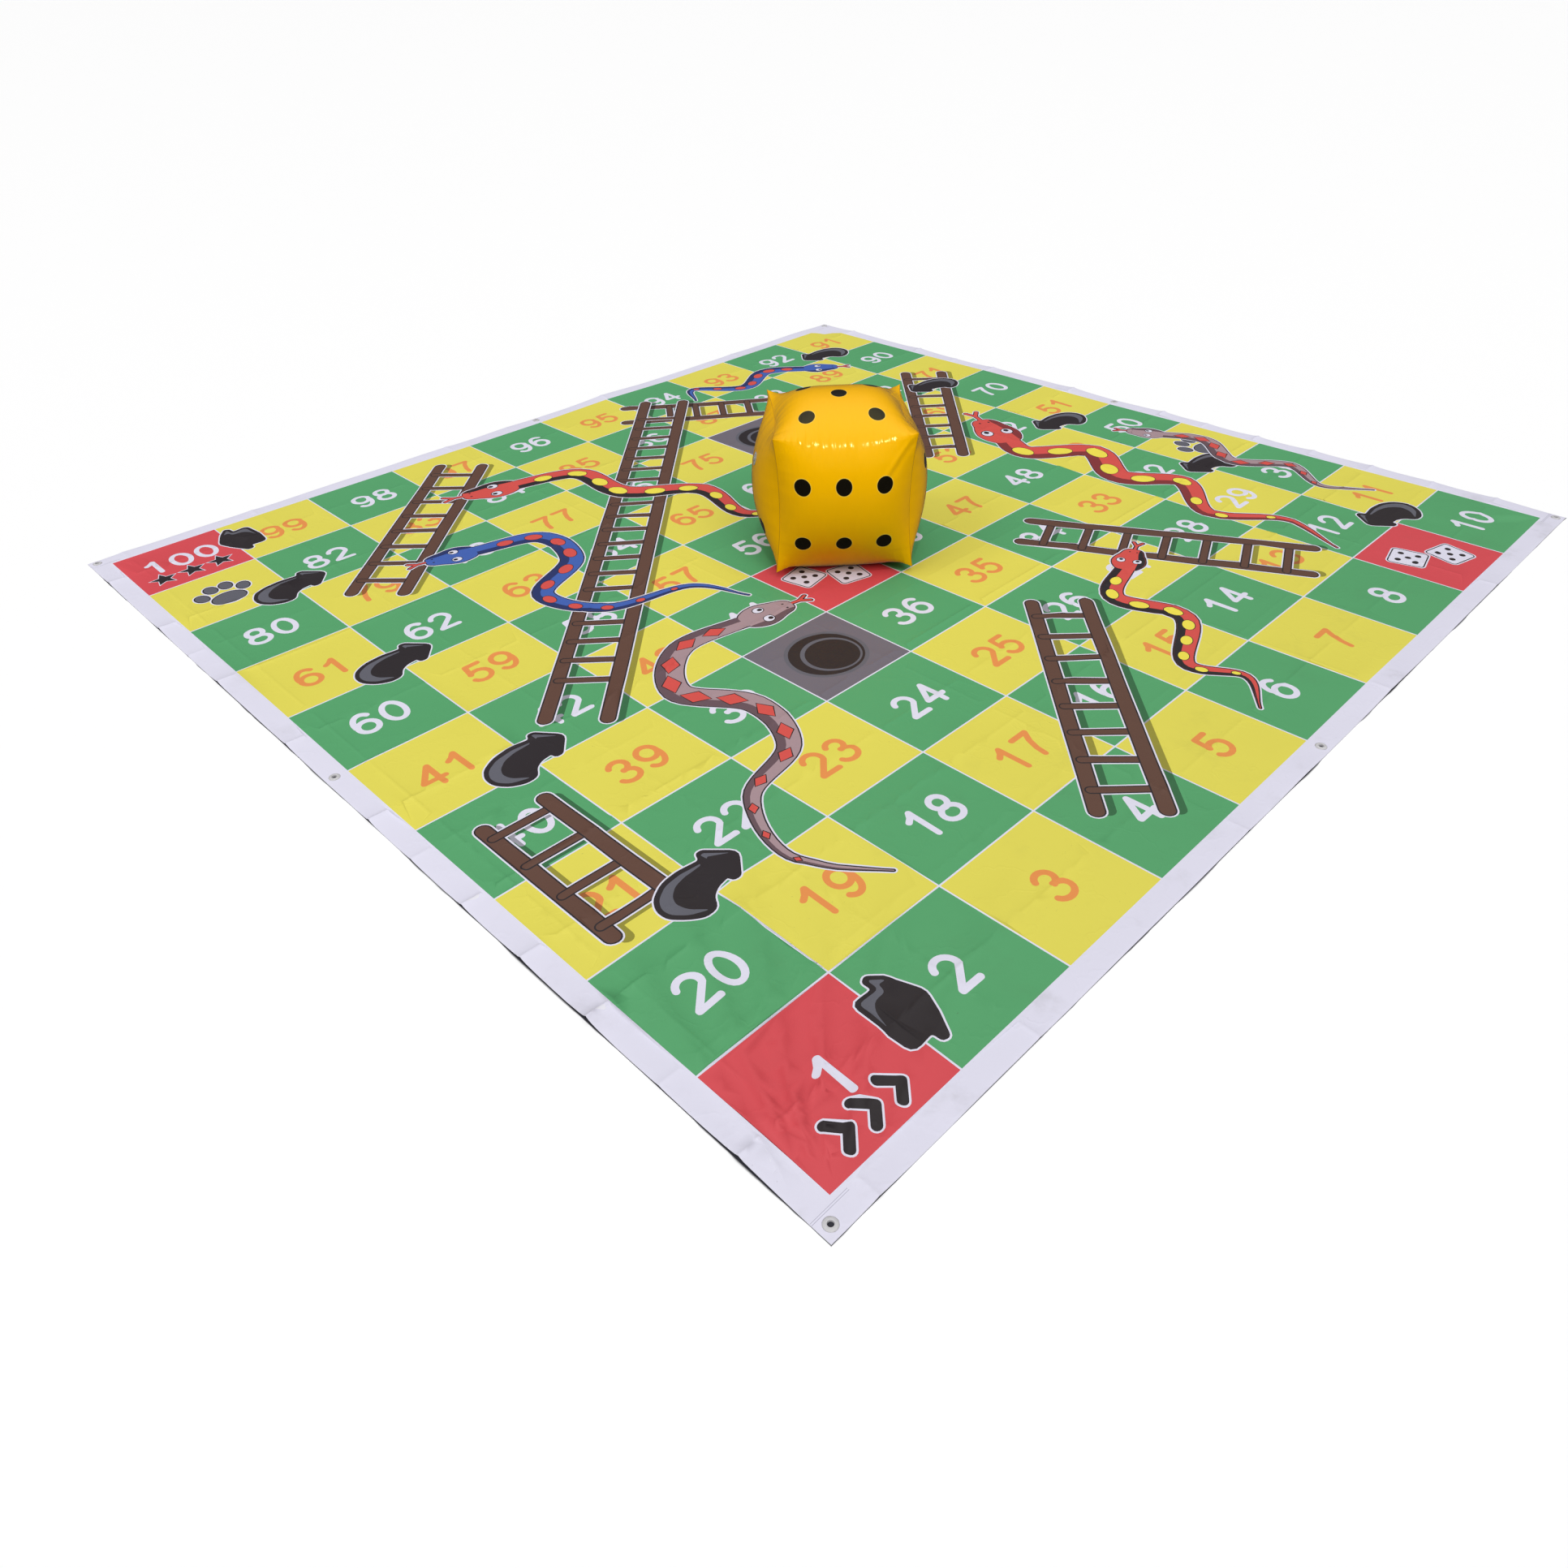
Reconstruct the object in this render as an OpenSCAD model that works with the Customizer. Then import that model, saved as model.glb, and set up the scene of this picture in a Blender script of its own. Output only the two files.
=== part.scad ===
// Giant snakes and ladders floor mat with eyelets, and its inflatable die.
// Millimetres. The origin is on the floor under the mat's middle.
// +X runs along the bottom row of squares, +Y from the bottom row to the top row, +Z is up.

/* [Mat] */
// Width of the mat, along the rows of squares
mat_w = 2980; // [1600:10:4000]
// Length of the mat, across the rows of squares
mat_l = 2850; // [1600:10:4000]
// Thickness of the PVC sheet
sheet_t = 0.5; // [0.4:0.1:1.2]
// Width of the hem turned under along each side
hem_w = 40; // [36:1:80]

/* [Eyelets] */
// Diameter of an eyelet's ring on top of the mat
ring_d = 24; // [22:0.5:30]
// Height of the ring above the mat
ring_h = 2.4; // [1.5:0.1:4]
// Diameter of the hole through an eyelet
eyelet_hole_d = 10; // [6:0.5:11]
// Wall of the barrel that goes through the mat
barrel_wall = 1.4; // [1:0.1:2]
// Diameter of the locking washer under the mat
lock_d = 23; // [21:0.5:30]
// Thickness of the locking washer
lock_t = 1.2; // [1:0.1:3]
// Height of the bead on the barrel's end
bead_h = 0.5; // [0.3:0.1:0.7]
// How far the bead stands out from the barrel
bead_out = 0.4; // [0.2:0.1:0.8]
// Room round the barrel in the punched sheet and hem
punch_room = 0.3; // [0.1:0.1:1]
// Room round the barrel and its bead in the locking washer
snap_room = 0.1; // [0.05:0.05:0.3]

/* [Die] */
// Distance between two neighbouring corners of the inflated die
die_size = 356; // [200:1:600]
// Height of a face's crown above the plane of its corners, on the band and on the side panels
die_crown = 53; // [20:1:80]
// How far the middle of a seam is drawn in
seam_bow = 13; // [2:1:25]
// How soon a side panel swells up from its seams, 0 for a plain arc
die_fullness = 0.5; // [0:0.1:1]
// How near to its seams the band stays round, from a round arch at 2 upwards
band_flare = 4; // [2:0.5:8]
// Height of the lower corners above the spot where the die stands
corner_lift = 20; // [5:1:40]
// Thickness of the die's film
film_t = 0.4; // [0.3:0.1:1]
// Die's middle along the rows of squares
die_x = 0; // [-400:1:400]
// Die's middle across the rows of squares
die_y = -48; // [-400:1:400]
// Turn of the die about the vertical
die_turn = -42; // [-90:1:90]
// Gap between the die and the mat
rest_gap = 0.2; // [0.1:0.1:1]

/* [Valve] */
// Place of the valve across its face, as a share of the way from the middle to the seam
valve_across = 0.22; // [-0.4:0.01:0.4]
// Place of the valve up its face, as a share of the way from the middle to the seam
valve_up = 0.46; // [-0.5:0.01:0.5]
// Diameter of the valve's flange
flange_d = 34; // [30:1:44]
// Thickness of the flange
flange_t = 1; // [0.6:0.1:2]
// Diameter of the valve's tube
stem_d = 11; // [9:0.5:14]
// Wall of the tube
stem_wall = 1.6; // [1:0.1:2.2]
// Length of the tube below the flange
stem_l = 18; // [14:1:24]
// Diameter of the plug's head
plug_d = 14; // [12:0.5:16]
// Thickness of the plug's head
plug_t = 2.5; // [1.5:0.1:4]
// Length of the plug's pin
pin_l = 9; // [5:0.5:12]
// Width of the strap
strap_w = 6; // [4:0.5:8]
// Thickness of the strap
strap_t = 0.9; // [0.6:0.1:1.4]
// Thickness of the flap
flap_t = 0.7; // [0.4:0.1:1.2]
// Gap between pieces of the valve that move apart
valve_gap = 0.2; // [0.1:0.05:0.4]
// Room round the tube in the panel
stem_room = 0.4; // [0.2:0.1:1]

/* [Hidden] */
$fn = 48;
eps = 0.01;

// Heights of the mat's layers above the floor
hem_z = lock_t;
sheet_z = hem_z + sheet_t;
mat_top = sheet_z + sheet_t;

// Eyelets, along the middle of the hems
hole_r = eyelet_hole_d / 2;
barrel_r = hole_r + barrel_wall;
eyelet_x = (mat_w - hem_w) / 2;
eyelet_y = (mat_l - hem_w) / 2;
EYELETS = [
    ["front_left", [-eyelet_x, -eyelet_y]],
    ["front_mid", [0, -eyelet_y]],
    ["front_right", [eyelet_x, -eyelet_y]],
    ["right_mid", [eyelet_x, 0]],
    ["back_right", [eyelet_x, eyelet_y]],
    ["back_mid", [0, eyelet_y]],
    ["back_left", [-eyelet_x, eyelet_y]],
    ["left_mid", [-eyelet_x, 0]],
];
ring_arc_steps = 6;

// Hems, each with the middle of its strip and the strip's width and length
side_hem_l = mat_l - 2 * hem_w;
HEMS = [
    ["front", [0, (hem_w - mat_l) / 2], [mat_w, hem_w]],
    ["right", [(mat_w - hem_w) / 2, 0], [hem_w, side_hem_l]],
    ["back", [0, (mat_l - hem_w) / 2], [mat_w, hem_w]],
    ["left", [(hem_w - mat_w) / 2, 0], [hem_w, side_hem_l]],
];

// Turns about X that bring a face-up stretch of the die's band to the top, front, bottom and back
BAND_TURNS = [0, 90, 180, 270];

// Side panels of the die, each with the turn that brings a face-up panel to its place
PANELS = [
    ["left", [90, 0, 270]],
    ["right", [90, 0, 90]],
];
VALVE_PANEL = "left";
panel_steps = 12;
die_half = die_size / 2;
die_mid_z = mat_top + rest_gap + corner_lift + die_half;
valve_turn = [for (panel = PANELS) if (panel[0] == VALVE_PANEL) panel[1]][0];

// Valve
stem_r = stem_d / 2;
bore_r = stem_r - stem_wall;
head_z = flange_t + valve_gap;
flap_z = -stem_l - valve_gap - flap_t;

// Holes for the barrels, through every layer of the mat
module punched_holes() {
    for (eyelet = EYELETS)
        translate([eyelet[1].x, eyelet[1].y, -eps])
            cylinder(r = barrel_r + punch_room, h = mat_top + 2 * eps);
}

module mat_sheet() {
    color("honeydew")
        difference() {
            translate([-mat_w / 2, -mat_l / 2, sheet_z])
                cube([mat_w, mat_l, sheet_t]);
            punched_holes();
        }
}

module hem(place, size) {
    color("ghostwhite")
        difference() {
            translate([place.x - size.x / 2, place.y - size.y / 2, hem_z])
                cube([size.x, size.y, sheet_t]);
            punched_holes();
        }
}

// Ring with a domed top, a barrel through the mat and a bead on the barrel's end
module eyelet_ring() {
    dome = [for (step = [0 : ring_arc_steps])
        let (turn = 90 * step / ring_arc_steps)
        [hole_r + (ring_d / 2 - hole_r) * cos(turn), mat_top + ring_h * sin(turn)]];
    barrel = [
        [hole_r, 0],
        [barrel_r + bead_out, 0],
        [barrel_r + bead_out, bead_h],
        [barrel_r, bead_h],
        [barrel_r, mat_top],
    ];
    color("gainsboro")
        rotate_extrude()
            polygon(concat(barrel, dome));
}

// Washer with a step inside, which the barrel's bead sits in
module eyelet_lock() {
    color("lightgrey")
        difference() {
            cylinder(d = lock_d, h = lock_t);
            translate([0, 0, -eps])
                cylinder(r = barrel_r + snap_room, h = lock_t + 2 * eps);
            translate([0, 0, -eps])
                cylinder(r = barrel_r + bead_out + snap_room, h = bead_h + snap_room + eps);
        }
}

// How far a seam is drawn in at a share of the way from its middle to its corner
function drawn_in(share) = seam_bow * (1 - share ^ 2);

// How far a side panel has swelled at a share of the way from its middle to a seam, from 1 to 0
function swelled(share) =
    let (way_in = 1 - share ^ 2)
    way_in * (1 + die_fullness) / (1 + die_fullness * way_in);

// Point of a face-up side panel at shares u and v of the way from its middle to its seams.
// half is half the corner spacing.
function panel_point(u, v, half) = [
    u * (half - drawn_in(v)),
    v * (half - drawn_in(u)),
    half - drawn_in(u) - drawn_in(v) + (die_crown + 2 * seam_bow) * swelled(u) * swelled(v),
];

// How round the band's section is at a share of the way from its middle to a seam, from 1 to 0
function roundness(share) = 1 - abs(share) ^ band_flare;

// Point of the band at share u of the way to its seams and share v along one of its four stretches.
// The section is a square with drawn-in sides at the seams and a circle in the middle, and the
// floor presses it flat.
function band_point(u, turn, v, half) =
    let (
        square = [v * half, half - drawn_in(v)],
        circle = (half + die_crown) * [sin(45 * v), cos(45 * v)],
        lie = square + roundness(u) * (circle - square),
        level = lie.x * sin(turn) + lie.y * cos(turn)
    )
    [
        u * (half - drawn_in(v)),
        lie.x * cos(turn) - lie.y * sin(turn),
        max(level, -half - corner_lift),
    ];

// Share of the way from a face's middle to its rim, at one of its steps
function share(step) = 2 * step / panel_steps - 1;

// Film of the band: an outer and an inner tube of points, joined along both seams
module band_film() {
    ring = len(BAND_TURNS) * panel_steps;
    layer = (panel_steps + 1) * ring;
    function at(i, j) = i * ring + j % ring;
    points = [for (inset = [0, film_t], i = [0 : panel_steps], turn = BAND_TURNS, j = [0 : panel_steps - 1])
        band_point(share(i), turn, -share(j), die_half - inset)];
    outer = [for (i = [0 : panel_steps - 1], j = [0 : ring - 1], half = [0, 1])
        half == 0
            ? [at(i, j), at(i + 1, j), at(i + 1, j + 1)]
            : [at(i, j), at(i + 1, j + 1), at(i, j + 1)]];
    inner = [for (face = outer) [face[2] + layer, face[1] + layer, face[0] + layer]];
    rims = [for (i = [0, panel_steps], j = [0 : ring - 1], half = [0, 1])
        let (a = i == 0 ? at(i, j) : at(i, j + 1), b = i == 0 ? at(i, j + 1) : at(i, j))
        half == 0 ? [a, b, b + layer] : [a, b + layer, a + layer]];
    polyhedron(points = points, faces = concat(outer, inner, rims));
}

// Film of one side panel: an outer and an inner grid of points, joined round the rim
module panel_film() {
    side = panel_steps + 1;
    layer = side * side;
    function at(i, j) = i * side + j;
    points = [for (inset = [0, film_t], i = [0 : panel_steps], j = [0 : panel_steps])
        panel_point(share(i), share(j), die_half - inset)];
    outer = [for (i = [0 : panel_steps - 1], j = [0 : panel_steps - 1], half = [0, 1])
        half == 0
            ? [at(i, j), at(i, j + 1), at(i + 1, j + 1)]
            : [at(i, j), at(i + 1, j + 1), at(i + 1, j)]];
    inner = [for (face = outer) [face[2] + layer, face[1] + layer, face[0] + layer]];
    rim_loop = concat(
        [for (i = [0 : panel_steps - 1]) at(i, 0)],
        [for (j = [0 : panel_steps - 1]) at(panel_steps, j)],
        [for (i = [panel_steps : -1 : 1]) at(i, panel_steps)],
        [for (j = [panel_steps : -1 : 1]) at(0, j)]
    );
    rim = [for (k = [0 : len(rim_loop) - 1], half = [0, 1])
        let (a = rim_loop[k], b = rim_loop[(k + 1) % len(rim_loop)])
        half == 0 ? [a, b, b + layer] : [a, b + layer, a + layer]];
    polyhedron(points = points, faces = concat(outer, inner, rim));
}

module in_die_frame() {
    translate([die_x, die_y, die_mid_z])
        rotate([0, 0, die_turn])
            children();
}

module die_band() {
    color("gold")
        in_die_frame()
            band_film();
}

module die_panel(name, turn) {
    color("gold")
        in_die_frame()
            rotate(turn)
                difference() {
                    panel_film();
                    if (name == VALVE_PANEL)
                        on_panel()
                            translate([0, 0, -stem_l / 2])
                                cylinder(r = stem_r + stem_room, h = stem_l);
                }
}

// Place and outward direction of the valve on its panel, before the panel is turned
function valve_place() = panel_point(valve_across, valve_up, die_half);
function valve_facing() =
    let (
        step = 0.001,
        along = panel_point(valve_across + step, valve_up, die_half),
        upward = panel_point(valve_across, valve_up + step, die_half),
        facing = cross(along - valve_place(), upward - valve_place())
    )
    facing / norm(facing);

module on_panel() {
    facing = valve_facing();
    translate(valve_place())
        rotate([0, acos(facing.z), atan2(facing.y, facing.x)])
            children();
}

module in_valve_frame() {
    in_die_frame()
        rotate(valve_turn)
            on_panel()
                translate([0, 0, valve_gap])
                    children();
}

// Flange on the film with the tube pushed inwards through it
module valve_stem() {
    color("lightsteelblue")
        in_valve_frame()
            difference() {
                union() {
                    cylinder(d = flange_d, h = flange_t);
                    translate([0, 0, -stem_l])
                        cylinder(r = stem_r, h = stem_l + eps);
                }
                translate([0, 0, -stem_l - eps])
                    cylinder(r = bore_r, h = stem_l + flange_t + 2 * eps);
            }
}

// Head on the flange and a pin with a tapered end in the tube
module valve_plug() {
    pin_r = bore_r - valve_gap;
    taper = pin_r / 3;
    color("slategray")
        in_valve_frame()
            translate([0, 0, head_z])
                rotate_extrude()
                    polygon([
                        [0, -pin_l],
                        [pin_r - taper, -pin_l],
                        [pin_r, -pin_l + taper],
                        [pin_r, 0],
                        [plug_d / 2, 0],
                        [plug_d / 2, plug_t / 2],
                        [plug_d / 2 - plug_t / 2, plug_t],
                        [0, plug_t],
                    ]);
}

// Strap on the flange, from its rim to the plug's head
module valve_strap() {
    color("lightsteelblue")
        in_valve_frame()
            translate([0, 0, flange_t])
                difference() {
                    translate([0, -strap_w / 2, 0])
                        cube([flange_d / 2 - strap_t, strap_w, strap_t]);
                    translate([0, 0, -eps])
                        cylinder(r = plug_d / 2 + valve_gap, h = strap_t + 2 * eps);
                }
}

// Flap that closes the tube's inner end
module valve_flap() {
    color("lightsteelblue")
        in_valve_frame()
            translate([0, 0, flap_z])
                cylinder(r = stem_r, h = flap_t);
}

mat_sheet();
for (strip = HEMS)
    hem(strip[1], strip[2]);
for (eyelet = EYELETS) {
    translate(eyelet[1]) eyelet_ring();
    translate(eyelet[1]) eyelet_lock();
}
die_band();
for (panel = PANELS)
    die_panel(panel[0], panel[1]);
valve_stem();
valve_plug();
valve_strap();
valve_flap();
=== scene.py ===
"""Giant snakes and ladders floor mat with its inflatable die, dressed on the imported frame."""

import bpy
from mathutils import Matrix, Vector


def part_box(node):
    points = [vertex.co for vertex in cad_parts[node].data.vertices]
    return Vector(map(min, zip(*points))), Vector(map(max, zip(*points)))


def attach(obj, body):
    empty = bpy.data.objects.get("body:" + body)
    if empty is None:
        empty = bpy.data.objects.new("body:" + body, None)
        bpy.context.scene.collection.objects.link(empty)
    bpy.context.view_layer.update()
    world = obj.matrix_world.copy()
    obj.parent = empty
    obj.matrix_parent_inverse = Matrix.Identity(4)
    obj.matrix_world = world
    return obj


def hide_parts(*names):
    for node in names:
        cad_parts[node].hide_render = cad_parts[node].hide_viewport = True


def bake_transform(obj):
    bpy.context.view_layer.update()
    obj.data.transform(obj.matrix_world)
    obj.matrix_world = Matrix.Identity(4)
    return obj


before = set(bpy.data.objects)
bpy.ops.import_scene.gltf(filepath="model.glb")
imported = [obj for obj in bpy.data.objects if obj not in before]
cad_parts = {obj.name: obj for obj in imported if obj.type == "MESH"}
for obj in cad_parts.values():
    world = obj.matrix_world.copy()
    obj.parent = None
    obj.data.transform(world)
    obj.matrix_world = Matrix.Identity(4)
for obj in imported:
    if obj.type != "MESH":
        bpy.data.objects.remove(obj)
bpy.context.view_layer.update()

import math

import bmesh
import bpy
from mathutils import Matrix, Vector, noise
from mathutils.geometry import delaunay_2d_cdt

bl_info = {
    "name": "Snakes and Ladders Floor Mat",
    "version": (1, 0, 0),
    "blender": (4, 5, 0),
    "location": "View3D > Sidebar > Floor Game",
    "description": "Prints the mat, inflates its die and lays both out in a studio",
    "category": "Add Mesh",
}

MM = 0.001

# What the frame says of the mat
MAT_LOW, MAT_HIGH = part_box("mat_sheet")
MAT_WIDTH = MAT_HIGH[0] - MAT_LOW[0]
MAT_LENGTH = MAT_HIGH[1] - MAT_LOW[1]
MAT_TOP = MAT_HIGH[2]
HEM_SIDES = ("front", "right", "back", "left")
HEM_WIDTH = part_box("hem_front")[1][1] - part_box("hem_front")[0][1]
EYELET_PLACES = (
    "front_left",
    "front_mid",
    "front_right",
    "right_mid",
    "back_right",
    "back_mid",
    "back_left",
    "left_mid",
)


def middle_of(node):
    """Middle of a node's box on the floor plan."""
    low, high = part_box(node)
    return Vector(((low[0] + high[0]) / 2, (low[1] + high[1]) / 2))


EYELETS = [middle_of(f"eyelet_ring_{place}") for place in EYELET_PLACES]

# The die's form, as its solids have it
DIE_SIDES = ("left", "right")
DIE_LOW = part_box("die_band")[0]
DIE_MIDDLE = middle_of("die_band")
DIE_HALF = 178 * MM
DIE_CROWN = 53 * MM
SEAM_BOW = 13 * MM
DIE_FULLNESS = 0.5
BAND_FLARE = 4
CORNER_LIFT = 20 * MM
FILM_THICK = 0.4 * MM
DIE_TURN = math.radians(-42)
DIE_MIDDLE_Z = DIE_LOW[2] + CORNER_LIFT + DIE_HALF

# The valve's form, as its solids have it
VALVE_ACROSS = 0.22
VALVE_UP = 0.46
VALVE_GAP = 0.2 * MM


def srgb(red, green, blue):
    """Linear colour of an sRGB colour given from 0 to 255."""

    def channel(value):
        share = value / 255
        return share / 12.92 if share <= 0.04045 else ((share + 0.055) / 1.055) ** 2.4

    return tuple(channel(value) for value in (red, green, blue))


def colour_prop(name, description, rgb):
    """A colour that a user may change."""
    return bpy.props.FloatVectorProperty(
        name=name, description=description, subtype="COLOR", min=0, max=1, default=srgb(*rgb)
    )


def length_prop(name, description, default):
    """A length that a user may change, in metres."""
    return bpy.props.FloatProperty(
        name=name, description=description, default=default, unit="LENGTH", min=0, precision=4
    )


def share_prop(name, description, default):
    """A share of the light that a user may change."""
    return bpy.props.FloatProperty(name=name, description=description, default=default, min=0)


class PrintSettings(bpy.types.PropertyGroup):
    """Sizes and inks of the print on the mat."""

    squares: bpy.props.IntProperty(name="Squares", description="Squares along each side", default=10)
    margin: length_prop("Margin", "White margin round the squares", 50 * MM)
    line: length_prop("Line", "Width of the white lines between squares", 3.6 * MM)
    digit: length_prop("Digit height", "Height of a digit along its middle line", 76 * MM)
    digit_pen: length_prop("Digit stroke", "Width of a digit's stroke", 14 * MM)
    rail: length_prop("Rail", "Width of a ladder's rail", 31 * MM)
    rung: length_prop("Rung", "Width of a ladder's rung", 17 * MM)
    key_line: length_prop("Key line", "Width of the dark outline of the drawings", 3.2 * MM)
    halo: length_prop("Halo", "Width of the white outline of the drawings", 3.4 * MM)
    shade_shift: length_prop("Shade", "Shift of the printed shade of a ladder", 17 * MM)
    paper: colour_prop("Paper", "White PVC of the margin, lines and pale digits", (225, 223, 239))
    green: colour_prop("Green", "Every other square", (86, 163, 108))
    yellow: colour_prop("Yellow", "The squares between", (226, 216, 88))
    red: colour_prop("Red", "First and last squares, and those with dice", (214, 76, 84))
    orange: colour_prop("Orange", "Digits on the yellow squares", (232, 146, 78))
    brown: colour_prop("Brown", "Ladders", (98, 69, 58))
    ink: colour_prop("Black", "Outlines and arrows", (44, 38, 42))
    slate: colour_prop("Slate", "Light side of the arrows", (98, 98, 108))
    stone: colour_prop("Stone", "Squares with a pit", (112, 106, 116))
    scarlet: colour_prop("Scarlet", "Red snakes", (214, 82, 76))
    crimson: colour_prop("Crimson", "Shaded side of the red snakes", (132, 52, 54))
    lemon: colour_prop("Lemon", "Yellow spots", (240, 224, 80))
    cobalt: colour_prop("Cobalt", "Blue snakes", (66, 98, 178))
    navy: colour_prop("Navy", "Shaded side of the blue snakes", (40, 52, 104))
    mauve: colour_prop("Mauve", "Grey snakes", (168, 142, 148))
    plum: colour_prop("Plum", "Shaded side of the grey snakes", (104, 82, 90))
    weld: colour_prop("Weld", "Weld lines of the hems at the corners", (176, 174, 192))


class DieSettings(bpy.types.PropertyGroup):
    """Sizes and colours of the inflatable die."""

    steps: bpy.props.IntProperty(name="Steps", description="Faces across the band", default=128)
    pip: length_prop("Pip", "Diameter of a pip", 43 * MM)
    pip_rim: length_prop("Pip rim", "Width of the pale rim round a pip", 1.6 * MM)
    seam: length_prop("Seam", "Radius of the weld bead along the seams", 0.8 * MM)
    pucker: length_prop("Pucker", "Depth of the puckers along the seams", 1.3 * MM)
    film: colour_prop("Film", "Yellow film", (252, 187, 0))
    pip_ink: colour_prop("Pips", "Pips", (16, 13, 10))
    rim_ink: colour_prop("Pip rim", "Pale rim round a pip", (250, 222, 110))


class StageSettings(bpy.types.PropertyGroup):
    """Camera and light."""

    lens: bpy.props.FloatProperty(
        name="Lens", description="Focal length", default=25.1, unit="CAMERA", min=1
    )
    eye: bpy.props.FloatVectorProperty(
        name="Eye",
        description="Place of the camera",
        subtype="TRANSLATION",
        default=(-2.0359, -1.9368, 1.3688),
    )
    yaw: bpy.props.FloatProperty(
        name="Yaw", description="Heading from +X", subtype="ANGLE", default=math.radians(46.4)
    )
    pitch: bpy.props.FloatProperty(
        name="Pitch", description="Tilt below the horizon", subtype="ANGLE", default=math.radians(38.434)
    )
    roll: bpy.props.FloatProperty(
        name="Roll", description="Turn about the view", subtype="ANGLE", default=math.radians(1.86)
    )
    floor: colour_prop("Floor", "Floor and backdrop", (254, 254, 254))
    horizon: share_prop("Horizon", "Light of the sky at the horizon", 0.06)
    sky: share_prop("Sky", "Share of the light that comes from the sky", 0.56)
    sun: share_prop("Sun", "Share of the light that comes from the broad sun at the front", 0.21)
    side: share_prop("Side", "Share of the light that comes from the broad sun at the left", 0.14)
    window: share_prop("Window", "Share of the small light that makes the film glint", 0.11)


# Shader expressions

# Sockets of a Mix node's share and colours, counted because others have the same names
MIX_INPUTS = (0, 6, 7)
MIX_OUTPUT = 2


class Value:
    """A number on a node's socket. Arithmetic on it adds Math nodes."""

    def __init__(self, tree, socket):
        self.tree = tree
        self.socket = socket

    def math(self, operation, *inputs):
        """A Math node on this value and others."""
        node = self.tree.nodes.new("ShaderNodeMath")
        node.operation = operation
        for slot, item in zip(node.inputs, inputs):
            feed(self.tree, slot, item)
        return Value(self.tree, node.outputs[0])

    def __add__(self, other):
        return self.math("ADD", self, other)

    def __radd__(self, other):
        return self.math("ADD", other, self)

    def __sub__(self, other):
        return self.math("SUBTRACT", self, other)

    def __rsub__(self, other):
        return self.math("SUBTRACT", other, self)

    def __mul__(self, other):
        return self.math("MULTIPLY", self, other)

    def __rmul__(self, other):
        return self.math("MULTIPLY", other, self)

    def __pow__(self, other):
        return self.math("POWER", self, other)

    def __abs__(self):
        return self.math("ABSOLUTE", self)

    def least(self, other):
        """The smaller of two values."""
        return self.math("MINIMUM", self, other)

    def most(self, other):
        """The larger of two values."""
        return self.math("MAXIMUM", self, other)


def feed(tree, slot, item):
    """Link a socket, or set its value."""
    if isinstance(item, Value):
        tree.links.new(item.socket, slot)
    elif isinstance(item, bpy.types.NodeSocket):
        tree.links.new(item, slot)
    else:
        slot.default_value = item


class Finish:
    """A material, with one method that adds any node to it."""

    def __init__(self, name):
        self.material = bpy.data.materials.new(name)
        self.material.use_nodes = True
        self.tree = self.material.node_tree
        self.shader = self.tree.nodes["Principled BSDF"]

    def node(self, kind, settings=None, sockets=None, out=0):
        """Add a node, set it up, fill its sockets and give one of its outputs."""
        node = self.tree.nodes.new(kind)
        for key, value in (settings or {}).items():
            setattr(node, key, value)
        for key, item in (sockets or {}).items():
            feed(self.tree, node.inputs[key], item)
        return Value(self.tree, node.outputs[out])

    def set(self, **sockets):
        """Fill the shader's own sockets, with _ for a space in their names."""
        for key, item in sockets.items():
            feed(self.tree, self.shader.inputs[key.replace("_", " ")], item)

    def place(self, uv=None):
        """Coordinates of the surface: the object's own, or one of its UV maps."""
        if uv:
            return self.node("ShaderNodeUVMap", {"uv_map": uv})
        return self.node("ShaderNodeTexCoord", out="Object")

    def axes(self, vector):
        """The three numbers of a vector."""
        split = self.node("ShaderNodeSeparateXYZ", sockets={"Vector": vector}).socket.node
        return [Value(self.tree, socket) for socket in split.outputs]

    def vector(self, x, y):
        """A flat vector of two numbers."""
        return self.node("ShaderNodeCombineXYZ", sockets={"X": x, "Y": y})

    def grain(self, vector, scale, detail=2.0, rough=0.5):
        """Noise from 0 to 1."""
        sockets = {"Vector": vector, "Scale": scale, "Detail": detail, "Roughness": rough}
        return self.node("ShaderNodeTexNoise", sockets=sockets, out="Fac")

    def ease(self, value, start, end):
        """A smooth step from 0 at start to 1 at end."""
        sockets = {"Value": value, "From Min": start, "From Max": end}
        return self.node("ShaderNodeMapRange", {"interpolation_type": "SMOOTHSTEP"}, sockets)

    def mix(self, share, first, second):
        """Mix of two colours."""
        node = self.node("ShaderNodeMix", {"data_type": "RGBA"}).socket.node
        for slot, item in zip(MIX_INPUTS, (share, first, second)):
            feed(self.tree, node.inputs[slot], item)
        return Value(self.tree, node.outputs[MIX_OUTPUT])

    def bump(self, height, distance, strength=1.0):
        """Normal of a surface raised by a height."""
        sockets = {"Height": height, "Distance": distance, "Strength": strength}
        return self.node("ShaderNodeBump", sockets=sockets)


# Flat shapes of the print, as lists of points in metres on the mat


def spot(column, row, sheet):
    """Point of the mat at a place counted in squares from the first square's outer corner."""
    pitch_x = (MAT_WIDTH - 2 * sheet.margin) / sheet.squares
    pitch_y = (MAT_LENGTH - 2 * sheet.margin) / sheet.squares
    return Vector((
        MAT_LOW[0] + sheet.margin + column * pitch_x,
        MAT_LOW[1] + sheet.margin + row * pitch_y,
    ))


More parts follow.
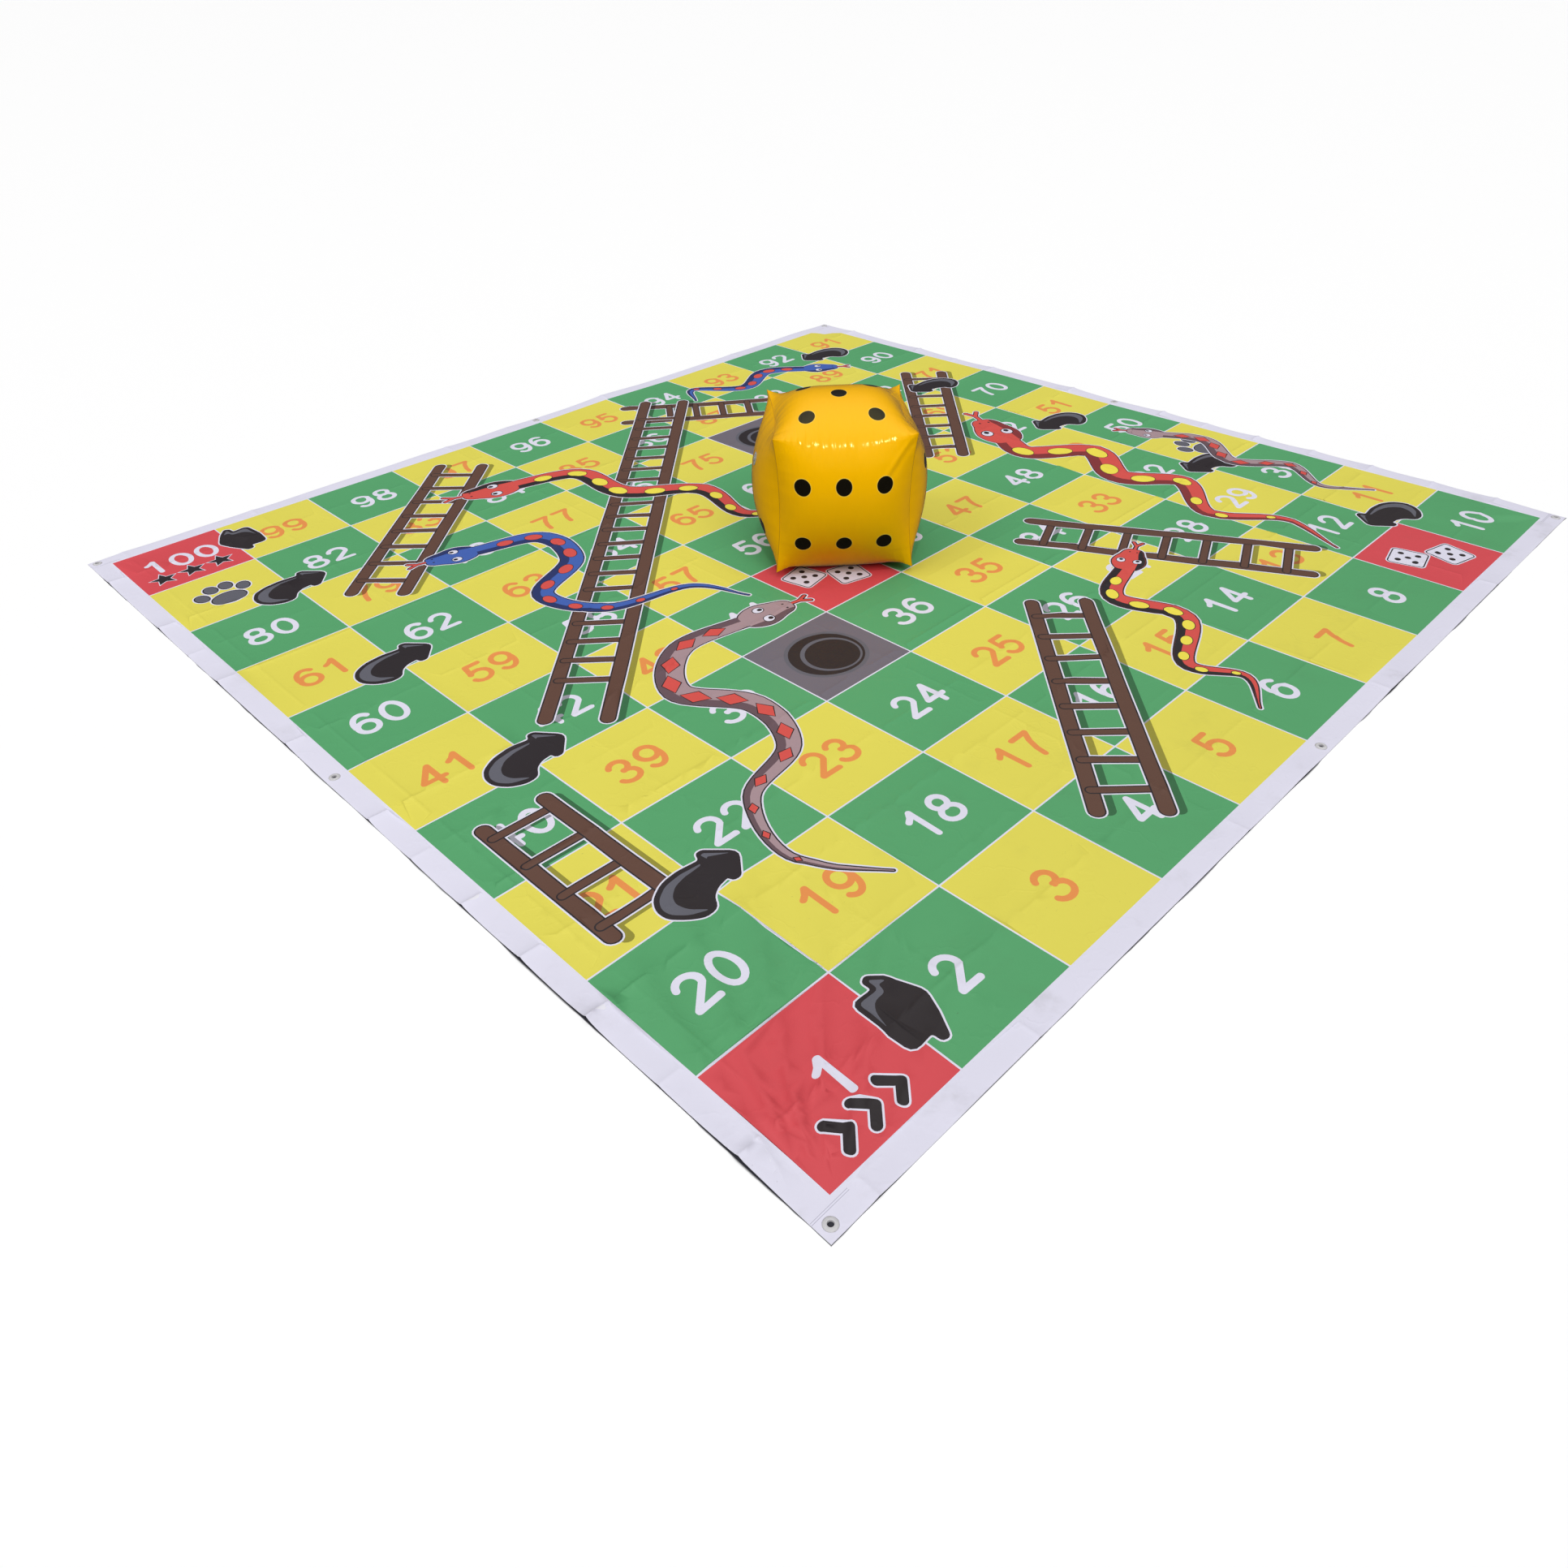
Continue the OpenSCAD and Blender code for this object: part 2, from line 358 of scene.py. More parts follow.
def oval(middle, half_x, half_y, turn=0.0, steps=28):
    """Points round an ellipse."""
    spin = Matrix.Rotation(turn, 2)
    angles = (math.tau * step / steps for step in range(steps))
    return [middle + spin @ Vector((half_x * math.cos(a), half_y * math.sin(a))) for a in angles]


def arc(middle, half_x, half_y, start, end, steps=14):
    """Points along part of an ellipse, with the angles in degrees."""
    angles = (math.radians(start + (end - start) * step / steps) for step in range(steps + 1))
    return [middle + Vector((half_x * math.cos(a), half_y * math.sin(a))) for a in angles]


def headings(path):
    """Unit directions along a path, at each of its points."""
    last = len(path) - 1
    return [(path[min(i + 1, last)] - path[max(i - 1, 0)]).normalized() for i in range(last + 1)]


def ribbon(path, left, right, round_ends=False):
    """Outline of a band along a path, with the widths on its left and right at each point."""
    ways = headings(path)
    sides = [Vector((-way.y, way.x)) for way in ways]
    upper = [p + side * w for p, side, w in zip(path, sides, left)]
    lower = [p - side * w for p, side, w in zip(path, sides, right)]
    if not round_ends:
        return upper + lower[::-1]
    turns = [math.pi * step / 8 for step in range(1, 8)]
    end_cap = [path[-1] + right[-1] * (sides[-1] * math.cos(t) + ways[-1] * math.sin(t)) for t in turns]
    start_cap = [path[0] - left[0] * (sides[0] * math.cos(t) + ways[0] * math.sin(t)) for t in turns]
    return upper + end_cap + lower[::-1] + start_cap


def stroke(path, width):
    """Outline of a pen stroke with round ends."""
    half = [width / 2] * len(path)
    return ribbon(path, half, half, round_ends=True)


def smooth_path(points, steps=10):
    """A smooth curve through points."""
    padded = [2 * points[0] - points[1]] + points + [2 * points[-1] - points[-2]]
    path = []
    for a, b, c, d in zip(padded, padded[1:], padded[2:], padded[3:]):
        for step in range(steps):
            t = step / steps
            bend = (2 * a - 5 * b + 4 * c - d) * t * t + (3 * b - a - 3 * c + d) * t ** 3
            path.append(b + 0.5 * ((c - a) * t + bend))
    return path + [points[-1]]


def grown(shape, extra):
    """A closed outline, moved outwards by a width."""
    area = sum(a.cross(b) for a, b in zip(shape, shape[1:] + shape[:1]))
    turned = shape if area > 0 else shape[::-1]
    moved = []
    for i, here in enumerate(turned):
        into = (here - turned[i - 1]).normalized()
        away = (turned[(i + 1) % len(turned)] - here).normalized()
        out = Vector((into.y + away.y, -into.x - away.x)).normalized()
        moved.append(here + out * extra / max(0.6, out.dot(Vector((into.y, -into.x)))))
    return moved


def softened(corners, radius, steps=3):
    """A closed outline through corners, each rounded off."""
    return [Vector(point) for point in rounded(corners, radius, steps)]


def star(middle, size):
    """Points of a five-pointed star."""
    points = []
    for step in range(10):
        reach = size if step % 2 == 0 else size * 0.45
        angle = math.pi / 2 + math.pi * step / 5
        points.append(middle + reach * Vector((math.cos(angle), math.sin(angle))))
    return points


def digit_strokes(digit):
    """Middle lines of a digit's strokes, in a box 0.66 wide and 1 high."""
    at = Vector
    two_halves = ((-100, 100), (80, 280))

    def ring(x, y, half_x, half_y):
        return [arc(at((x, y)), half_x, half_y, start, end) for start, end in two_halves]

    shapes = {
        "0": ring(0.33, 0.5, 0.31, 0.5),
        "1": [[at((0.1, 0.74)), at((0.25, 0.84)), at((0.38, 1.0))], [at((0.38, 1.0)), at((0.38, 0.0))]],
        "2": [
            arc(at((0.33, 0.7)), 0.3, 0.3, 165, -25) + [at((0.35, 0.33)), at((0.04, 0.02))],
            [at((0.04, 0.0)), at((0.64, 0.0))],
        ],
        "3": [
            arc(at((0.3, 0.75)), 0.27, 0.25, 160, -85),
            arc(at((0.31, 0.26)), 0.32, 0.27, 88, -160),
        ],
        "4": [
            [at((0.48, 1.0)), at((0.02, 0.3))],
            [at((0.02, 0.28)), at((0.66, 0.28))],
            [at((0.48, 1.0)), at((0.48, 0.0))],
        ],
        "5": [
            [at((0.14, 0.99)), at((0.58, 0.99))],
            [at((0.14, 0.99)), at((0.07, 0.5))],
            arc(at((0.31, 0.32)), 0.32, 0.32, 143, -155),
        ],
        "6": [
            arc(at((0.35, 0.5)), 0.33, 0.5, 50, 190),
            *ring(0.33, 0.31, 0.3, 0.31),
        ],
        "7": [
            [at((0.03, 0.98)), at((0.63, 0.98))],
            [at((0.63, 0.98)), at((0.42, 0.66)), at((0.29, 0.32)), at((0.24, 0.0))],
        ],
        "8": [*ring(0.33, 0.75, 0.25, 0.25), *ring(0.33, 0.26, 0.31, 0.27)],
        "9": [
            arc(at((0.31, 0.5)), 0.33, 0.5, -130, 10),
            *ring(0.33, 0.69, 0.3, 0.31),
        ],
    }
    return shapes[digit]


def thinned(shape, slack=0.3 * MM):
    """A shape without the points that lie within a slack of the line between their neighbours."""
    kept = shape[:1]
    skipped = []
    for point in shape[1:] + shape[:1]:
        chord = point - kept[-1]
        far = [abs(chord.cross(other - kept[-1])) for other in skipped]
        if max(far, default=0.0) > slack * chord.length:
            kept.append(skipped[-1])
            skipped = []
        skipped.append(point)
    return kept if len(kept) > 2 else shape


# Share of the colour that a printed shade leaves
SHADE = 0.4


class Print:
    """Shapes laid on the mat one over another, each with its ink."""

    def __init__(self, sheet):
        self.sheet = sheet
        self.shapes = []
        self.inks = []

    def lay(self, shape, ink):
        """Print a shape over what is there."""
        shape = thinned(shape)
        area = sum(a.cross(b) for a, b in zip(shape, shape[1:] + shape[:1]))
        self.shapes.append(shape if area > 0 else shape[::-1])
        self.inks.append(ink)

    def outlined(self, shapes_at, ink):
        """Print shapes with a white and a dark outline. shapes_at gives them at an outline's width."""
        halo = self.sheet.key_line + self.sheet.halo
        for extra, colour in ((halo, "paper"), (self.sheet.key_line, "ink"), (0.0, ink)):
            for shape in shapes_at(extra):
                self.lay(shape, colour)

    def colour_of(self, covering):
        """Colour of a spot from the shapes that cover it."""
        colour = Vector(self.sheet.paper)
        shaded = False
        for index in sorted(covering):
            if self.inks[index] == "shade":
                shaded = True
            else:
                colour = Vector(getattr(self.sheet, self.inks[index]))
                shaded = False
        return colour * SHADE if shaded else colour


def square_number(column, row, count):
    """Number of a square. The rows run to and fro from the bottom."""
    return row * count + (column + 1 if row % 2 == 0 else count - column)


def square_place(number, count):
    """Column and row of a square, from its number."""
    row, step = divmod(number - 1, count)
    return (step if row % 2 == 0 else count - 1 - step), row


RED_SQUARES = (1, 9, 45, 100)
PIT_SQUARES = (37, 74)
PAW_SQUARES = (31, 81)
DICE_SQUARES = (9, 45)
PALE_ON_YELLOW = (27, 29)


def lay_squares(job):
    """The coloured squares and the white lines between them."""
    sheet = job.sheet
    count = sheet.squares
    for row in range(count):
        for column in range(count):
            number = square_number(column, row, count)
            ink = "green" if (column + row) % 2 else "yellow"
            if number in RED_SQUARES:
                ink = "red"
            if number in PIT_SQUARES:
                ink = "stone"
            corners = ((column, row), (column + 1, row), (column + 1, row + 1), (column, row + 1))
            job.lay([spot(c, r, sheet) for c, r in corners], ink)
    for step in range(1, count):
        for start, end in (((step, 0), (step, count)), ((0, step), (count, step))):
            low = spot(*start, sheet)
            high = spot(*end, sheet)
            along = (high - low).normalized()
            across = Vector((-along.y, along.x)) * (sheet.line / 2)
            job.lay([low - across, high - across, high + across, low + across], "paper")


# Width of a digit's box and step from one digit to the next, in heights of a digit
DIGIT_WIDTH = 0.66
DIGIT_STEP = 0.92


def lay_number(job, number, middle, ink):
    """A number drawn in rounded strokes."""
    sheet = job.sheet
    tall = sheet.digit
    advance = tall * DIGIT_STEP
    wide = DIGIT_WIDTH * tall
    text = str(number)
    left = middle.x - (advance * (len(text) - 1) + wide) / 2
    for place, digit in enumerate(text):
        corner = Vector((left + advance * place, middle.y - tall / 2))
        for line in digit_strokes(digit):
            job.lay(stroke([corner + tall * point for point in line], sheet.digit_pen), ink)


def lay_numbers(job):
    """The numbers of the plain squares, and of the first and the last."""
    sheet = job.sheet
    bare = PIT_SQUARES + PAW_SQUARES + DICE_SQUARES
    for row in range(sheet.squares):
        for column in range(sheet.squares):
            number = square_number(column, row, sheet.squares)
            if number in bare:
                continue
            pale = (column + row) % 2 or number in RED_SQUARES + PALE_ON_YELLOW
            middle = spot(column + 0.5, row + (0.56 if number == 100 else 0.47), sheet)
            lay_number(job, number, middle, "paper" if pale else "orange")


# Rings of a pit: shift, half width and half height in metres, points round it, and ink
PIT_RINGS = (
    (0.0, 0.104, 0.099, 48, "slate"),
    (0.0, 0.094, 0.089, 48, "ink"),
    (0.008, 0.076, 0.072, 44, "slate"),
    (0.01, 0.068, 0.064, 44, "ink"),
)


def lay_marks(job):
    """Plain marks on the special squares: chevrons, stars, dice, pits and paws."""
    sheet = job.sheet

    def chevrons(extra):
        for place in (0.27, 0.47, 0.67):
            tip = spot(place + 0.06, 0.19, sheet)
            for side in (1, -1):
                yield stroke([tip + Vector((-0.026, side * 0.026)), tip], 0.012 + 2 * extra)

    def stars(extra):
        for place in (0.22, 0.49, 0.76):
            yield star(spot(place, 9.24, sheet), 0.03 + 1.6 * extra)

    job.outlined(chevrons, "ink")
    job.outlined(stars, "ink")
    for number in DICE_SQUARES:
        column, row = square_place(number, sheet.squares)
        for across, up, turn in ((0.33, 0.62, 0.2), (0.66, 0.36, -0.25)):
            lay_small_die(job, spot(column + across, row + up, sheet), turn)
    for number in PIT_SQUARES:
        column, row = square_place(number, sheet.squares)
        middle = spot(column + 0.5, row + 0.5, sheet)
        for shift, half_x, half_y, steps, ink in PIT_RINGS:
            job.lay(oval(middle + Vector((shift, -shift)), half_x, half_y, steps=steps), ink)
    for number in PAW_SQUARES:
        column, row = square_place(number, sheet.squares)
        lay_paw(job, spot(column + 0.5, row + 0.47, sheet))


def lay_small_die(job, middle, turn):
    """A little die with five pips."""
    spin = Matrix.Rotation(turn, 2)
    side = 0.034

    def body(extra):
        corners = ((-side, -side), (side, -side), (side, side), (-side, side))
        for a, b in zip(corners, corners[1:] + corners[:1]):
            line = [middle + spin @ Vector(a), middle + spin @ Vector(b)]
            yield stroke(line, 0.016 + 2 * extra)
        yield [middle + spin @ Vector(corner) for corner in corners]

    job.outlined(body, "paper")
    for x, y in ((-1, -1), (1, -1), (0, 0), (-1, 1), (1, 1)):
        job.lay(oval(middle + spin @ Vector((x, y)) * 0.021, 0.008, 0.008, steps=14), "ink")


def lay_paw(job, middle):
    """A paw print."""

    def pads(extra):
        yield oval(middle + Vector((0, -0.025)), 0.043 + extra, 0.034 + extra)
        for x, y in ((-0.055, 0.018), (-0.02, 0.05), (0.02, 0.05), (0.055, 0.018)):
            yield oval(middle + Vector((x, y)), 0.016 + extra, 0.022 + extra, turn=-x * 4, steps=20)

    job.outlined(pads, "slate")


# A plain white patch on the last corner, in squares
PATCH = ((9.72, 10.0), (9.77, 9.93), (9.81, 9.81), (9.92, 9.76), (10.0, 9.66), (10.0, 10.0))


def lay_margin(job):
    """What the margin carries: a plain white patch on one corner and the weld lines of the hems."""
    job.lay([spot(*place, job.sheet) for place in PATCH], "paper")
    for side_x in (1, -1):
        for side_y in (1, -1):
            line = [
                Vector((side_x * (MAT_WIDTH / 2 - reach), side_y * (MAT_LENGTH / 2 - HEM_WIDTH)))
                for reach in (1 * MM, 74 * MM)
            ]
            for step in (0, 3.5 * MM):
                shift = Vector((0, side_y * step))
                job.lay(stroke([point + shift for point in line], 1 * MM), "weld")


# Ladders: both ends of the left rail, the same of the right rail, in squares, and the rungs
LADDERS = (
    ((5.96, 9.54), (8.1, 7.82), (5.68, 9.15), (7.82, 7.44), 8),
    ((1.35, 4.45), (6.25, 9.5), (1.70, 4.11), (6.61, 9.19), 20),
    ((0.31, 2.17), (0.31, 3.64), (0.80, 2.17), (0.80, 3.63), 4),
    ((1.31, 7.58), (3.43, 9.69), (1.65, 7.22), (3.76, 9.33), 8),
    ((3.29, 0.68), (5.32, 2.73), (3.62, 0.33), (5.65, 2.38), 8),
    ((7.44, 1.14), (6.24, 3.54), (7.94, 1.36), (6.67, 3.74), 7),
    ((7.30, 5.65), (9.24, 7.71), (7.59, 5.37), (9.59, 7.38), 8),
)


def lay_ladders(job):
    """The ladders, each over its printed shade."""
    sheet = job.sheet
    shift = Vector((sheet.shade_shift, -sheet.shade_shift * 0.9))
    halo = 2 * (sheet.key_line + sheet.halo)
    for left_foot, left_top, right_foot, right_top, rungs in LADDERS:
        left = [spot(*left_foot, sheet), spot(*left_top, sheet)]
        right = [spot(*right_foot, sheet), spot(*right_top, sheet)]
        steps = []
        for rung in range(rungs):
            share = 0.08 + 0.84 * rung / (rungs - 1)
            steps.append([left[0].lerp(left[1], share), right[0].lerp(right[1], share)])
        parts = [(left, sheet.rail), (right, sheet.rail)] + [(step, sheet.rung) for step in steps]
        for line, width in parts:
            job.lay(stroke([point + shift for point in line], width), "shade")
        for line, width in parts:
            job.lay(stroke(line, width + halo), "paper")
        for group in ([(left, sheet.rail)], [(step, sheet.rung) for step in steps], [(right, sheet.rail)]):
            for line, width in group:
                job.lay(stroke(line, width + 2 * sheet.key_line), "ink")
            for line, width in group:
                job.lay(stroke(line, width), "brown")


# Outlines and gleams of the arrows, in squares from the arrow's middle, leading to the right
TURN_ARROW = (
    (-0.06, -0.225), (-0.15, -0.235), (-0.26, -0.18), (-0.33, -0.08), (-0.335, 0.02),
    (-0.29, 0.11), (-0.18, 0.18), (-0.02, 0.205), (0.15, 0.185), (0.175, 0.25), (0.215, 0.25),
    (0.37, 0.06), (0.225, -0.125), (0.175, -0.125), (0.165, -0.07), (0.07, -0.08),
    (-0.01, -0.13),
)
TURN_GLEAM = (
    (-0.09, -0.208), (-0.24, -0.155), (-0.305, -0.07), (-0.31, 0.015), (-0.27, 0.09),
    (-0.175, 0.152), (-0.02, 0.178), (0.13, 0.162), (0.12, 0.148), (-0.02, 0.14), (-0.13, 0.105),
    (-0.2, 0.04), (-0.225, -0.03), (-0.2, -0.11),
)
HEAD_GLEAM = ((0.182, 0.225), (0.21, 0.225), (0.335, 0.08), (0.205, 0.18), (0.19, 0.165))
BLOCK_ARROW = (
    (-0.13, 0.245), (0.02, 0.22), (0.025, 0.31), (0.06, 0.33), (0.135, 0.23), (0.225, 0.02),
    (0.16, -0.13), (0.065, -0.3), (0.02, -0.29), (0.015, -0.215), (-0.14, -0.225),
    (-0.155, -0.04),
)
BLOCK_GLEAM = (
    (-0.112, 0.222), (0.035, 0.198), (0.045, 0.285), (0.058, 0.295), (0.118, 0.215),
    (0.06, 0.23), (0.05, 0.16), (-0.05, 0.155), (-0.105, 0.09), (-0.128, -0.03),
)


def lay_arrows(job):
    """Arrows that lead from each row to the next, and two at the ends of the run."""
    sheet = job.sheet
    for row in range(1, sheet.squares):
        way = 1 if row % 2 == 0 else -1
        column = 0.97 if way > 0 else sheet.squares - 0.86
        lay_arrow(job, (column, row + 0.12), way, TURN_ARROW, (TURN_GLEAM, HEAD_GLEAM))
    lay_arrow(job, (1.06, 0.49), 1, BLOCK_ARROW, (BLOCK_GLEAM,))
    lay_arrow(job, (1.12, 9.57), -1, BLOCK_ARROW, (BLOCK_GLEAM,))


def lay_arrow(job, middle, way, outline, gleams):
    """A fat arrow with a grey gleam, leading to the right or the left."""

    def drawn(corners, radius):
        on_mat = [spot(middle[0] + way * x, middle[1] + y, job.sheet) for x, y in corners]
        return softened(on_mat, radius)

    job.outlined(lambda extra: [grown(drawn(outline, 0.016), extra)], "ink")
    for gleam in gleams:
        job.lay(drawn(gleam, 0.012), "slate")


# Snakes: the middle line from head to tail in squares, the greatest width in metres, body and
# shaded side, and the marks along the back
SNAKES = (
    (((2.45, 7.5), (3.15, 7.25), (3.1, 6.6), (2.5, 6.2), (2.75, 5.55), (3.5, 5.3), (3.75, 4.75)),
     0.066, "cobalt", "navy", "scarlet", "oval"),
    (((3.6, 8.6), (4.35, 8.3), (4.4, 7.5), (5.0, 6.9), (4.9, 6.1), (5.45, 5.65), (5.0, 5.3)),
     0.08, "scarlet", "ink", "lemon", "oval"),
    (((3.5, 4.4), (2.75, 4.5), (2.3, 4.0), (2.6, 3.4), (2.4, 2.8), (1.8, 2.55), (1.55, 1.9), (1.9, 1.3)),
     0.07, "mauve", "plum", "scarlet", "diamond"),
    (((8.3, 5.35), (8.1, 4.85), (8.6, 4.3), (8.2, 3.7), (8.5, 3.1), (8.0, 2.5), (8.35, 1.85), (8.1, 1.2)),
     0.1, "scarlet", "crimson", "lemon", "oval"),
    (((6.5, 2.5), (5.9, 2.25), (6.0, 1.6), (5.35, 1.2), (5.5, 0.75), (5.15, 0.45)),
     0.06, "scarlet", "ink", "lemon", "oval"),
    (((9.5, 4.05), (9.7, 3.5), (9.35, 3.0), (9.65, 2.45), (9.35, 1.95), (9.6, 1.5)),
     0.055, "mauve", "plum", "scarlet", "diamond"),
    (((8.6, 8.85), (8.1, 9.25), (7.5, 9.0), (7.0, 9.45), (6.75, 9.1)),
     0.06, "cobalt", "navy", "scarlet", "oval"),
)


def lay_snakes(job):
    """The snakes, each with its marks and a plain head."""
    for points, width, ink, shaded, mark, kind in SNAKES:
        path = smooth_path([spot(*point, job.sheet) for point in points])
        lay_snake(job, path, width, ink, shaded, mark, kind)


def lay_snake(job, path, width, ink, shaded, mark, kind):
    """One snake along a path from its neck to its tail."""
    last = len(path) - 1
    half = []
    for i in range(last + 1):
        share = i / last
        thick = (0.74 + 0.26 * math.sin(math.pi * min(1, share * 1.3))) * (1 - share ** 2.6)
        half.append(max(0.0015, width / 2 * thick))
    ways = headings(path)
    head = SnakeHead(path[0], -ways[0], width)

    def whole(extra):
        wide = [w + extra for w in half]
        yield ribbon(path, wide, wide, round_ends=True)
        yield grown(head.skull(), extra)
        yield from head.tongue(extra)

    job.outlined(whole, ink)
    near = [-0.25 * w for w in half]
    job.lay(ribbon(path, near, [0.995 * w for w in half]), shaded)
    run = 0.0
    pitch = width * 1.15
    for i in range(2, last):
        run += (path[i] - path[i - 1]).length
        if run < pitch or half[i] < 0.007:
            continue
        run = 0.0
        turn = math.atan2(ways[i].y, ways[i].x)
        lay_mark(job, path[i], half[i], turn, mark, kind)
    head.lay(job, ink, shaded)


def lay_mark(job, middle, half, turn, ink, kind):
    """A spot or a diamond on a snake's back."""
    for grow, colour in ((0.002, "ink"), (0.0, ink)):
        if kind == "oval":
            job.lay(oval(middle, 0.86 * half + grow, 0.56 * half + grow, turn, 20), colour)
        else:
            spin = Matrix.Rotation(turn, 2)
            reach = grow * 1.6
            corners = ((1.1 * half + reach, 0), (0, 0.66 * half + reach), (-1.1 * half - reach, 0),
                       (0, -0.66 * half - reach))
            job.lay([middle + spin @ Vector(corner) for corner in corners], colour)


# Half widths of a snake's head at places along it, both in widths of the body
HEAD_SHAPE = ((-0.5, 0.4), (-0.1, 0.64), (0.3, 0.74), (0.7, 0.66), (1.05, 0.5), (1.4, 0.42), (1.62, 0.24))


class SnakeHead:
    """A plain head seen from above, with two eyes, two nostrils and a forked tongue."""

    def __init__(self, neck, way, width):
        self.neck = neck
        self.way = way
        self.side = Vector((-way.y, way.x))
        self.width = width

    def at(self, along, across):
        """Point of the head, in widths of the body from the neck."""
        return self.neck + (self.way * along + self.side * across) * self.width

    def skull(self):
        """Outline of the head."""
        left = [self.at(along, wide) for along, wide in HEAD_SHAPE]
        right = [self.at(along, -wide) for along, wide in reversed(HEAD_SHAPE)]
        return softened(left + right, self.width * 0.3)

    def tongue(self, extra):
        """Strokes of the tongue, widened by an outline."""
        pen = self.width * 0.12 + 2 * extra
        yield stroke([self.at(1.45, 0), self.at(2.0, 0)], pen)
        for lean in (0.2, -0.2):
            yield stroke([self.at(2.0, 0), self.at(2.35, lean)], pen)

    def lay(self, job, ink, shaded):
        """Print the tongue, the skull with its shaded side, the eyes and the nostrils."""
        for line in self.tongue(0.0):
            job.lay(line, "scarlet")
        job.lay(self.skull(), ink)
        cheek = [self.at(along, -wide * 0.99) for along, wide in HEAD_SHAPE]
        job.lay(softened(cheek + [self.at(1.2, -0.24), self.at(0.3, -0.42)], self.width * 0.2), shaded)
        turn = math.atan2(self.way.y, self.way.x)
        for lean in (1, -1):
            for along, size, colour in ((0.4, 0.235, "ink"), (0.4, 0.2, "paper"), (0.47, 0.1, "ink")):
                middle = self.at(along, lean * 0.36)
                job.lay(oval(middle, self.width * size, self.width * size * 0.9, turn, 20), colour)
            job.lay(oval(self.at(1.34, lean * 0.16), self.width * 0.05, self.width * 0.04, turn, 12), "ink")


# How the mat lies


def bell(distance, width):
    """A smooth bump that fades with distance."""
    return math.exp(-(distance / width) ** 2)


def smooth_step(value, start, end):
    """A smooth step from 0 at start to 1 at end."""
    share = max(0.0, min(1.0, (value - start) / (end - start)))
    return share * share * (3 - 2 * share)


# Fold lines left by packing, in metres, with their heights in millimetres
FOLDS_ALONG_X = (
    (-1.246, 3.2), (-1.07, 1.5), (-0.891, 4.0), (-0.707, 3.1), (-0.5225, 4.2), (-0.344, 1.8), (-0.184, 3.8),
    (0.0, 1.3), (0.179, 3.0), (0.536, 3.2), (0.715, 1.6), (0.894, 3.1), (1.251, 2.8),
)
FOLDS_ALONG_Y = ((-1.395, 2.6), (-1.02, 1.6), (-0.35, 1.7), (0.3, 1.6), (0.95, 1.7))
FOLD_WIDTH = 4.6 * MM
FOLD_SPREAD = 42 * MM
FOLD_REACH = 0.13
# Steps from a fold's line to the grid lines beside it
NEAR_FOLD = (-20 * MM, -9 * MM, -3 * MM, 0.0, 3 * MM, 9 * MM, 20 * MM)
# Folds that fan out from the front left corner: angle and width in degrees, height in millimetres
CORNER_FOLDS = (
    (18, 2.6, 4.0),
    (33, 3.0, 7.4),
    (46, 2.6, 6.0),
    (57, 2.8, 8.2),
    (67, 2.6, 6.4),
    (78, 2.6, 4.6),
)
FAN_END = 1.15
# How far an eyelet and the die keep the mat flat round them
HOLD_RADIUS = 0.03
FLAT_RADIUS = 0.25


def fold_height(off, edge, lift):
    """Height of a fold beside its line. Where it runs out over the mat's edge it stands up."""
    rise = 1 + lift * math.exp(-max(0.0, edge) / 0.09)
    crisp = math.exp(-abs(off) / (FOLD_WIDTH * (0.7 + 0.3 * rise)))
    return rise * (0.8 * crisp + 0.5 * bell(off, FOLD_SPREAD))


def lie(x, y):
    """Height of the mat above flat at a place, in metres."""
    folds = 0.0
    for line, high in FOLDS_ALONG_X:
        if abs(y - line) > FOLD_REACH:
            continue
        gate = 0.65 + 0.35 * noise.noise(Vector((x * 1.6, line * 9, 1.0)))
        lift = 1.8 if x < 0 else 1.0
        folds += high * gate * fold_height(y - line, MAT_WIDTH / 2 - abs(x), lift)
    for line, high in FOLDS_ALONG_Y:
        if abs(x - line) > FOLD_REACH:
            continue
        gate = 0.65 + 0.35 * noise.noise(Vector((line * 9, y * 1.6, 2.0)))
        folds += high * gate * fold_height(x - line, MAT_LENGTH / 2 - abs(y), 1.0)
    swell = 2.4 * noise.noise(Vector((x * 2.1, y * 2.1, 5.0)))
    swell += 1.5 * noise.noise(Vector((x * 5, y * 5, 7.0)))
    edge = min(MAT_WIDTH / 2 - abs(x), MAT_LENGTH / 2 - abs(y))
    rim = math.exp(-max(0.0, edge) / 0.11)
    along = x if MAT_LENGTH / 2 - abs(y) < MAT_WIDTH / 2 - abs(x) else y
    flute = rim * (3.4 * noise.noise(Vector((along * 4.2, 0.3 if along == x else 8.3, 9.0))) + 1.2)
    height = folds + swell + flute + corner_fan(x, y)
    held = 1.0
    for eyelet in EYELETS:
        held = min(held, smooth_step((Vector((x, y)) - eyelet).length, HOLD_RADIUS * 0.55, HOLD_RADIUS * 4))
    under_die = (Vector((x, y)) - DIE_MIDDLE).length
    held = min(held, smooth_step(under_die, FLAT_RADIUS * 0.7, FLAT_RADIUS * 1.4))
    rolled = 0.9 * math.exp(-max(0.0, edge) / 0.004)
    return max(-1.0, max(-0.9, height) * held - rolled) * MM


def corner_fan(x, y):
    """Soft folds that fan out from the front left corner, in millimetres."""
    from_x = x - MAT_LOW[0]
    from_y = y - MAT_LOW[1]
    reach = math.hypot(from_x, from_y)
    if reach < 1e-6:
        return 0.0
    angle = math.degrees(math.atan2(from_y, from_x))
    fade = smooth_step(reach, 0.05, 0.25) * (1 - smooth_step(reach, 0.4, FAN_END))
    return fade * sum(high * bell(angle - line, wide) for line, wide, high in CORNER_FOLDS)


